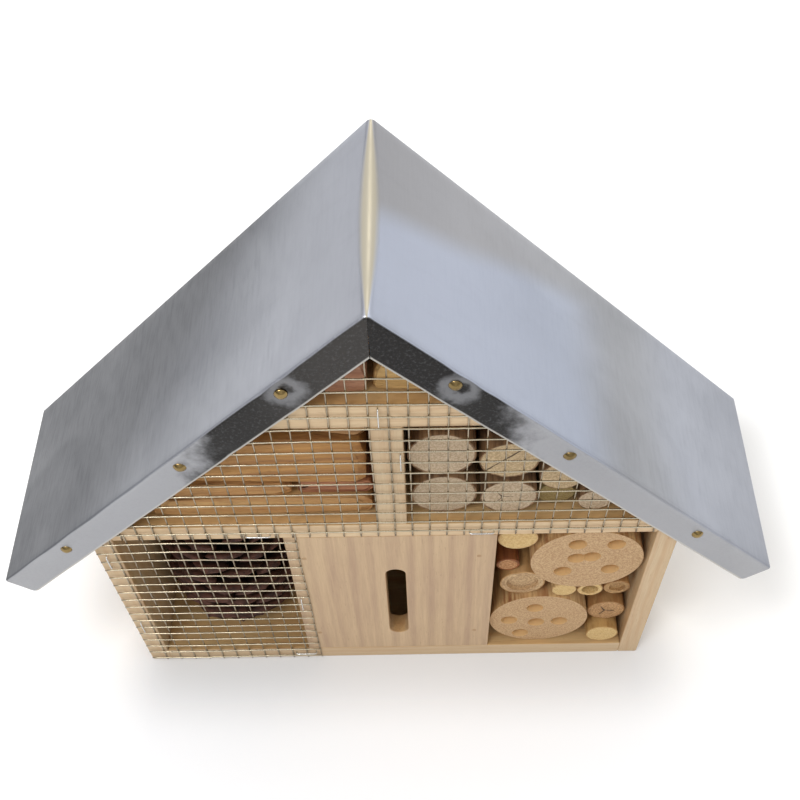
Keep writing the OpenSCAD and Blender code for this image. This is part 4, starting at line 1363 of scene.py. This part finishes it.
class HOTEL_OT_canes(Stick, Build):
    """Cuts the eight canes and sticks beside the logs."""

    bl_idname = "hotel.canes"
    bl_label = "Canes"

    def make(self):
        s = sizes("filling")
        common = dict(pale=tone(214, 186, 130), ring=s.cane, bark=s.cane, dark=tone(172, 134, 86))
        for seed, (node, shape, look) in enumerate((
            ("cane_top", dict(knots=((20 * MM, 0.03),)), {}),
            ("cane_barked", dict(wobble=0.08), dict(
                pale=tone(206, 160, 112), ring=s.bark, bark=s.bark, dark=tone(112, 62, 34),
                skin_at=0.8)),
            ("cane_ringed", dict(bore=(0.72, 2 * MM), dish=0.2 * MM), dict(
                pale=tone(206, 176, 134), ring=tone(150, 112, 76), bark=tone(182, 142, 92))),
            ("cane_row_left", {}, {}),
            ("cane_row_hollow", dict(bore=(0.66, 40 * MM)), {}),
            ("cane_row_right", dict(bore=(0.6, 1.5 * MM)), dict(
                pale=tone(190, 152, 102), ring=tone(130, 92, 56), bark=tone(168, 124, 76))),
            ("cane_side_upper", dict(wobble=0.05), dict(
                pale=tone(200, 160, 112), ring=tone(140, 98, 60), bark=tone(156, 112, 68),
                spacing=1.2 * MM, arms=1.5, crack=0.35 * MM, reach=4 * MM)),
            ("cane_side_lower", {}, dict(bark=tone(188, 150, 92))),
        ), 1):
            wood = self.stick_material(node, **{**common, **look})
            piece(node + "_cut", self.stick(node, seed, **shape), wood, [node], crease=60)


class HOTEL_OT_branches(Stick, Build):
    """Saws the seven branches of the upper right room."""

    bl_idname = "hotel.branches"
    bl_label = "Branches"

    def make(self):
        s = sizes("filling")
        yellow = tone(214, 190, 150)
        common = dict(pale=s.branch, ring=s.branch_ring, bark=tone(152, 118, 84),
                      dark=tone(84, 58, 38), spacing=1.6 * MM, contrast=0.32, rough=0.9)
        for seed, (letter, look) in enumerate((
            ("a", {}),
            ("b", dict(pale=times(0.9, s.branch))),
            ("c", dict(pale=yellow, turn=0.8, crack=0.5 * MM, reach=9 * MM)),
            ("d", dict(arms=1.5, crack=0.25 * MM, reach=4 * MM)),
            ("e", dict(pale=yellow)),
            ("f", dict(pale=tone(150, 132, 80), bark=s.olive)),
            ("g", {}),
        ), 21):
            node = "branch_" + letter
            slot = "branch_olive" if letter == "f" else "branch_wood"
            wood = self.stick_material(node, **{**common, **look})
            shape = self.stick(node, seed, wobble=0.07, facets=56)
            piece(node + "_sawn", shape, wood, [node], crease=60)


class HOTEL_OT_split_wood(Build):
    """Splits the chunks of the upper left room and the gable."""

    bl_idname = "hotel.split_wood"
    bl_label = "Split wood"

    def make(self):
        s = sizes("filling")
        for seed, (node, light, dark, slot, outline) in enumerate((
            ("chunk_base", tone(208, 168, 112), tone(176, 126, 76), "split_pale",
             ((0, 0), (1, 0), (0.993, 0.71), (0.967, 0.98), (0.56, 1), (0.32, 1), (0.055, 0.85))),
            ("chunk_pale", tone(202, 156, 100), tone(148, 98, 56), "split_pale",
             ((0, 0), (0.906, 0), (1, 0.286), (0.925, 0.93), (0.415, 1), (0.094, 0.76))),
            ("chunk_red", tone(190, 134, 98), tone(132, 80, 56), "split_red",
             ((0.034, 0), (0.915, 0), (1, 0.3), (0.983, 0.925), (0.068, 1), (0, 0.3))),
            ("chunk_big", s.split, s.split_dark, "split_wood",
             ((0, 0.016), (0.61, 0.012), (0.98, 0), (1, 0.54), (0.952, 0.905), (0.675, 0.97),
              (0.357, 1), (0.185, 0.54))),
            ("chunk_wedge", tone(200, 156, 104), tone(140, 96, 56), "split_wood",
             ((0, 0.56), (0.345, 0.34), (0.936, 0), (1, 0.34), (0.985, 1), (0.123, 1))),
            ("gable_chunk_left", tone(200, 150, 118), tone(140, 92, 66), "split_red",
             ((0, 0), (0.974, 0), (1, 0.49), (0.876, 0.978), (0.726, 1), (0.256, 0.435))),
            ("gable_chunk_right", tone(212, 176, 116), tone(160, 118, 70), "split_pale",
             ((0, 0), (1, 0), (0.76, 0.45), (0.42, 0.914), (0.16, 1), (0.056, 0.538))),
        ), 31):
            shape, wood = self.chunk(node, outline, seed), self.wood(node, light, dark, seed)
            piece(node + "_split", shape, wood, [node], crease=65)

    def chunk(self, node, outline, seed):
        """A split billet: the outline, as shares of the node's box, is drawn in and shrunk
        towards its middle, and carried along Y with rounded edges. Ripples long in X and short
        in Z draw the sides in, and the front face stands back by a ripple of its own."""
        lo, hi = box_of(node)
        size = hi - lo
        points = lo[[0, 2]] + np.array(outline) * size[[0, 2]]
        radius = 1.6 * MM
        centres, directions = corner_arcs(points, radius, 5, 0.2 * MM)
        loop = centres + radius * directions
        steps = np.linalg.norm(np.roll(loop, -1, 0) - loop, axis=1)
        walk = np.concatenate([[0], np.cumsum(steps)])
        closed = np.vstack([loop, loop[:1]])
        t = np.linspace(0, walk[-1], 96, endpoint=False)
        loop = np.stack([np.interp(t, walk, closed[:, 0]), np.interp(t, walk, closed[:, 1])], -1)
        middle = loop.mean(0)
        face = np.array([0.1, 0.25, 0.4, 0.55, 0.7, 0.82, 0.91])
        round_off = np.radians([0, 25, 50, 75, 90])
        small = min(size[0], size[2])
        over = min(2.2 * MM, 0.12 * small)
        edge = 1 - over * (1 - np.sin(round_off)) / (0.5 * small)
        share = np.concatenate([face, edge, np.ones(12), edge[::-1], face[::-1]])
        rise = over * (1 - np.cos(round_off))
        y = lo[1] + np.concatenate([
            np.zeros(7), rise, np.linspace(over * 1.2, size[1] - over * 1.2, 12),
            size[1] - rise[::-1], np.full(7, size[1])])
        q, yy = share[:, None], y[:, None]
        lean_x, lean_z = ((loop - middle).T[:, None] * q)
        x0, z0 = middle[0] + lean_x, middle[1] + lean_z
        draw = 1 + ripple(x0 * 25, z0 * 330, seed, 8, 0.6, 1.8)
        draw = draw + 0.6 * ripple(yy * 50, z0 * 500, seed + 3, 7, 0.5, 1.5)
        draw = np.clip(0.055 * draw * np.minimum(q * 1.2, 1), 0, 0.16)
        x = middle[0] + lean_x * (1 - draw * 0.6)
        z = middle[1] + lean_z * (1 - draw)
        back = 1.1 * MM * (1 + ripple(x0 * 30, z0 * 420, seed + 6, 9, 0.7, 2.0))
        back = np.clip(back * (yy < lo[1] + over), 0, None) * np.minimum(1, 1.15 - 0.3 * q)
        rings = np.stack([x, yy + back, z], -1)
        first = [middle[0], rings[0, :, 1].mean(), middle[1]]
        return skin(rings, first, [middle[0], hi[1], middle[1]])

    def wood(self, node, light, dark, seed):
        """Split fibres along X: strong dark and bright streaks and a deep relief."""
        g = material(node)
        moved = g.value("Mapping", g.place, (seed * 0.37, seed * 0.11, 0),
                        (0, 0.09 * math.sin(seed), 0))
        out = g.group("Plank grain", Vector=moved, Pale=light, Dark=dark, Contrast=0.8,
                      Bands=150.0)
        split = g.drawn(moved, (30, 200, 360), 4, 0.6)
        colour = g.blend(g.span(split, 0.28, 0.44, 0.5, 0.0), out["Color"], times(0.45, dark))
        height = split * 1.4 + out["Height"] * 0.5
        return g.finish(colour, out["Roughness"], height, 0.8 * MM, 0.8)


class HOTEL_OT_cone(Build):
    """Grows the pine cone's spiral of woody scales."""

    bl_idname = "hotel.cone"
    bl_label = "Pine cone"

    scales = 92
    golden = math.radians(137.508)

    def make(self):
        s = sizes("filling")
        lo, hi = box_of("pine_cone")
        middle, height = (lo + hi) / 2, hi[2] - lo[2]
        reach = (hi[0] - lo[0]) / 2
        shapes = [self.core(middle, lo[2], height, reach)]
        k = np.arange(self.scales)
        up = 0.02 + 0.93 * (k / (self.scales - 1)) ** 0.93
        outline = np.interp(up, [0, 0.07, 0.2, 0.36, 0.55, 0.72, 0.87, 1],
                            [0.66, 0.88, 1, 1, 0.9, 0.72, 0.48, 0.2])
        for i in k:
            shapes.append(self.scale(middle, lo[2] + up[i] * height, i * self.golden,
                                     outline[i] * reach, up[i], i))
        cone = together(shapes)
        cone.corners = np.clip(cone.corners, lo + 1e-6, hi - 1e-6)
        piece("cone_scales", cone, self.cone_material(s), ["pine_cone"])

    def core(self, middle, z0, height, reach):
        """The hidden stem: rings whose radius is at most 0.4 of the cone's outline."""
        t = np.linspace(0, 1, 12)[:, None]
        r = np.interp(t, [0, 0.1, 0.5, 1], [0.2, 0.4, 0.36, 0.1]) * reach
        a = np.linspace(0, 2 * np.pi, 20, endpoint=False)
        x, y = middle[0] + r * np.cos(a), middle[1] + r * np.sin(a)
        rings = np.stack([x, y, np.broadcast_to(z0 + t * height, x.shape)], -1)
        foot, top = [middle[0], middle[1], z0], [middle[0], middle[1], z0 + height]
        return skin(rings, foot, top, tip=np.zeros_like(x))

    def scale(self, middle, z, turn, reach, up, seed):
        """One scale: eight-cornered rings along a line that leaves the stem level and lifts
        towards its end. The ring is wide and thin, swells at the end to a flat diamond with a
        small boss, and the diamond's width is the share of the outline that one scale takes."""
        rng = np.random.default_rng(500 + seed)
        t = np.array([0.0, 0.45, 0.74, 0.88, 0.96, 1.0])
        wide = 0.16 + 0.84 * np.clip(t / 0.88, 0, 1) ** 1.2
        wide = wide * np.array([1, 1, 1, 1, 0.8, 0.32])
        thick = np.array([0.3, 0.36, 0.62, 1.0, 0.8, 0.3])
        wide = wide * (reach * 0.36 * (0.85 + 0.3 * rng.random()) * (1.05 - 0.2 * up))
        thick = thick * (2.2 * MM * (0.6 + 0.45 * min(reach / (28 * MM), 1)))
        lift = math.radians(8 + 46 * up ** 1.3 + rng.uniform(-5, 5))
        out = np.array([math.cos(turn), math.sin(turn), 0])
        side = np.array([-math.sin(turn), math.cos(turn), 0])
        high = np.array([0, 0, 1.0])
        a = np.linspace(0, 2 * np.pi, 8, endpoint=False)
        ring_w = np.sign(np.cos(a)) * abs(np.cos(a)) ** 0.85
        ring_h = np.sign(np.sin(a)) * abs(np.sin(a)) ** 1.15
        far = reach * (0.2 + 0.8 * t)
        rise = math.tan(lift) * reach * 0.5 * t ** 1.6 - 1.2 * MM
        line = np.array([middle[0], middle[1], z]) + far[:, None] * out + rise[:, None] * high
        bent = ring_w ** 2 * t[:, None]
        lifted = thick[:, None] * ring_h - 0.16 * bent * wide[:, None]
        rings = (line[:, None] + (wide[:, None] * ring_w)[..., None] * side
                 + lifted[..., None] * high - (0.1 * reach * bent)[..., None] * out)
        tip = np.broadcast_to(np.clip((t - 0.6) / 0.3, 0, 1)[:, None], bent.shape)
        return skin(rings, line[0], line[-1] + 0.7 * MM * out, tip=tip)

    def cone_material(self, s):
        """Near-black scale bodies, partly the scales' dark brown and partly painted shade where
        the scales lie under one another, with reddish-brown ends and fine lengthwise cracks.
        """
        g = material("cone_scales")
        bark = g.group("Bark", Vector=g.place, Base=s.cone, Dark=(0.012, 0.008, 0.006),
                       Rough=0.8)
        spots = g.span(g.noise(g.place, 260, 4, 0.65), 0.35, 0.7)
        ends = g.blend(spots, s.cone_tip, tone(52, 33, 27))
        # partly painted shade: each scale near-black from the stem out, reddish-brown at its end
        colour = g.blend(g.span(g.attribute("tip"), 0.15, 0.95), bark["Color"], ends)
        return g.finish(colour, bark["Roughness"], bark["Height"], 0.5 * MM, 0.8)


OPERATORS = (
    HOTEL_OT_stage, HOTEL_OT_boards, HOTEL_OT_entrance, HOTEL_OT_roof, HOTEL_OT_roof_nails,
    HOTEL_OT_wire, HOTEL_OT_staples, HOTEL_OT_nails, HOTEL_OT_logs, HOTEL_OT_canes,
    HOTEL_OT_branches, HOTEL_OT_split_wood, HOTEL_OT_cone,
)


class HOTEL_PT_sidebar(bpy.types.Panel):
    """Sizes, colours and builders of the insect hotel."""

    bl_label = "Insect hotel"
    bl_space_type = "VIEW_3D"
    bl_region_type = "UI"
    bl_category = "Insect hotel"

    def draw(self, context):
        for operator in OPERATORS:
            self.layout.operator(operator.bl_idname)
        for group in GROUPS:
            box = self.layout.box()
            box.label(text=group.__name__.replace("Hotel", ""))
            for key in group.__annotations__:
                box.prop(getattr(context.scene, key_of(group)), key)


def register():
    for group in GROUPS:
        bpy.utils.register_class(group)
        setattr(bpy.types.Scene, key_of(group), bpy.props.PointerProperty(type=group))
    for operator in OPERATORS:
        bpy.utils.register_class(operator)
    bpy.utils.register_class(HOTEL_PT_sidebar)


def unregister():
    bpy.utils.unregister_class(HOTEL_PT_sidebar)
    for operator in reversed(OPERATORS):
        bpy.utils.unregister_class(operator)
    for group in reversed(GROUPS):
        delattr(bpy.types.Scene, key_of(group))
        bpy.utils.unregister_class(group)


def main():
    """Registers the classes and builds every piece in order."""
    register()
    for operator in OPERATORS:
        group, name = operator.bl_idname.split(".")
        getattr(getattr(bpy.ops, group), name)()


if __name__ == "__main__":
    main()
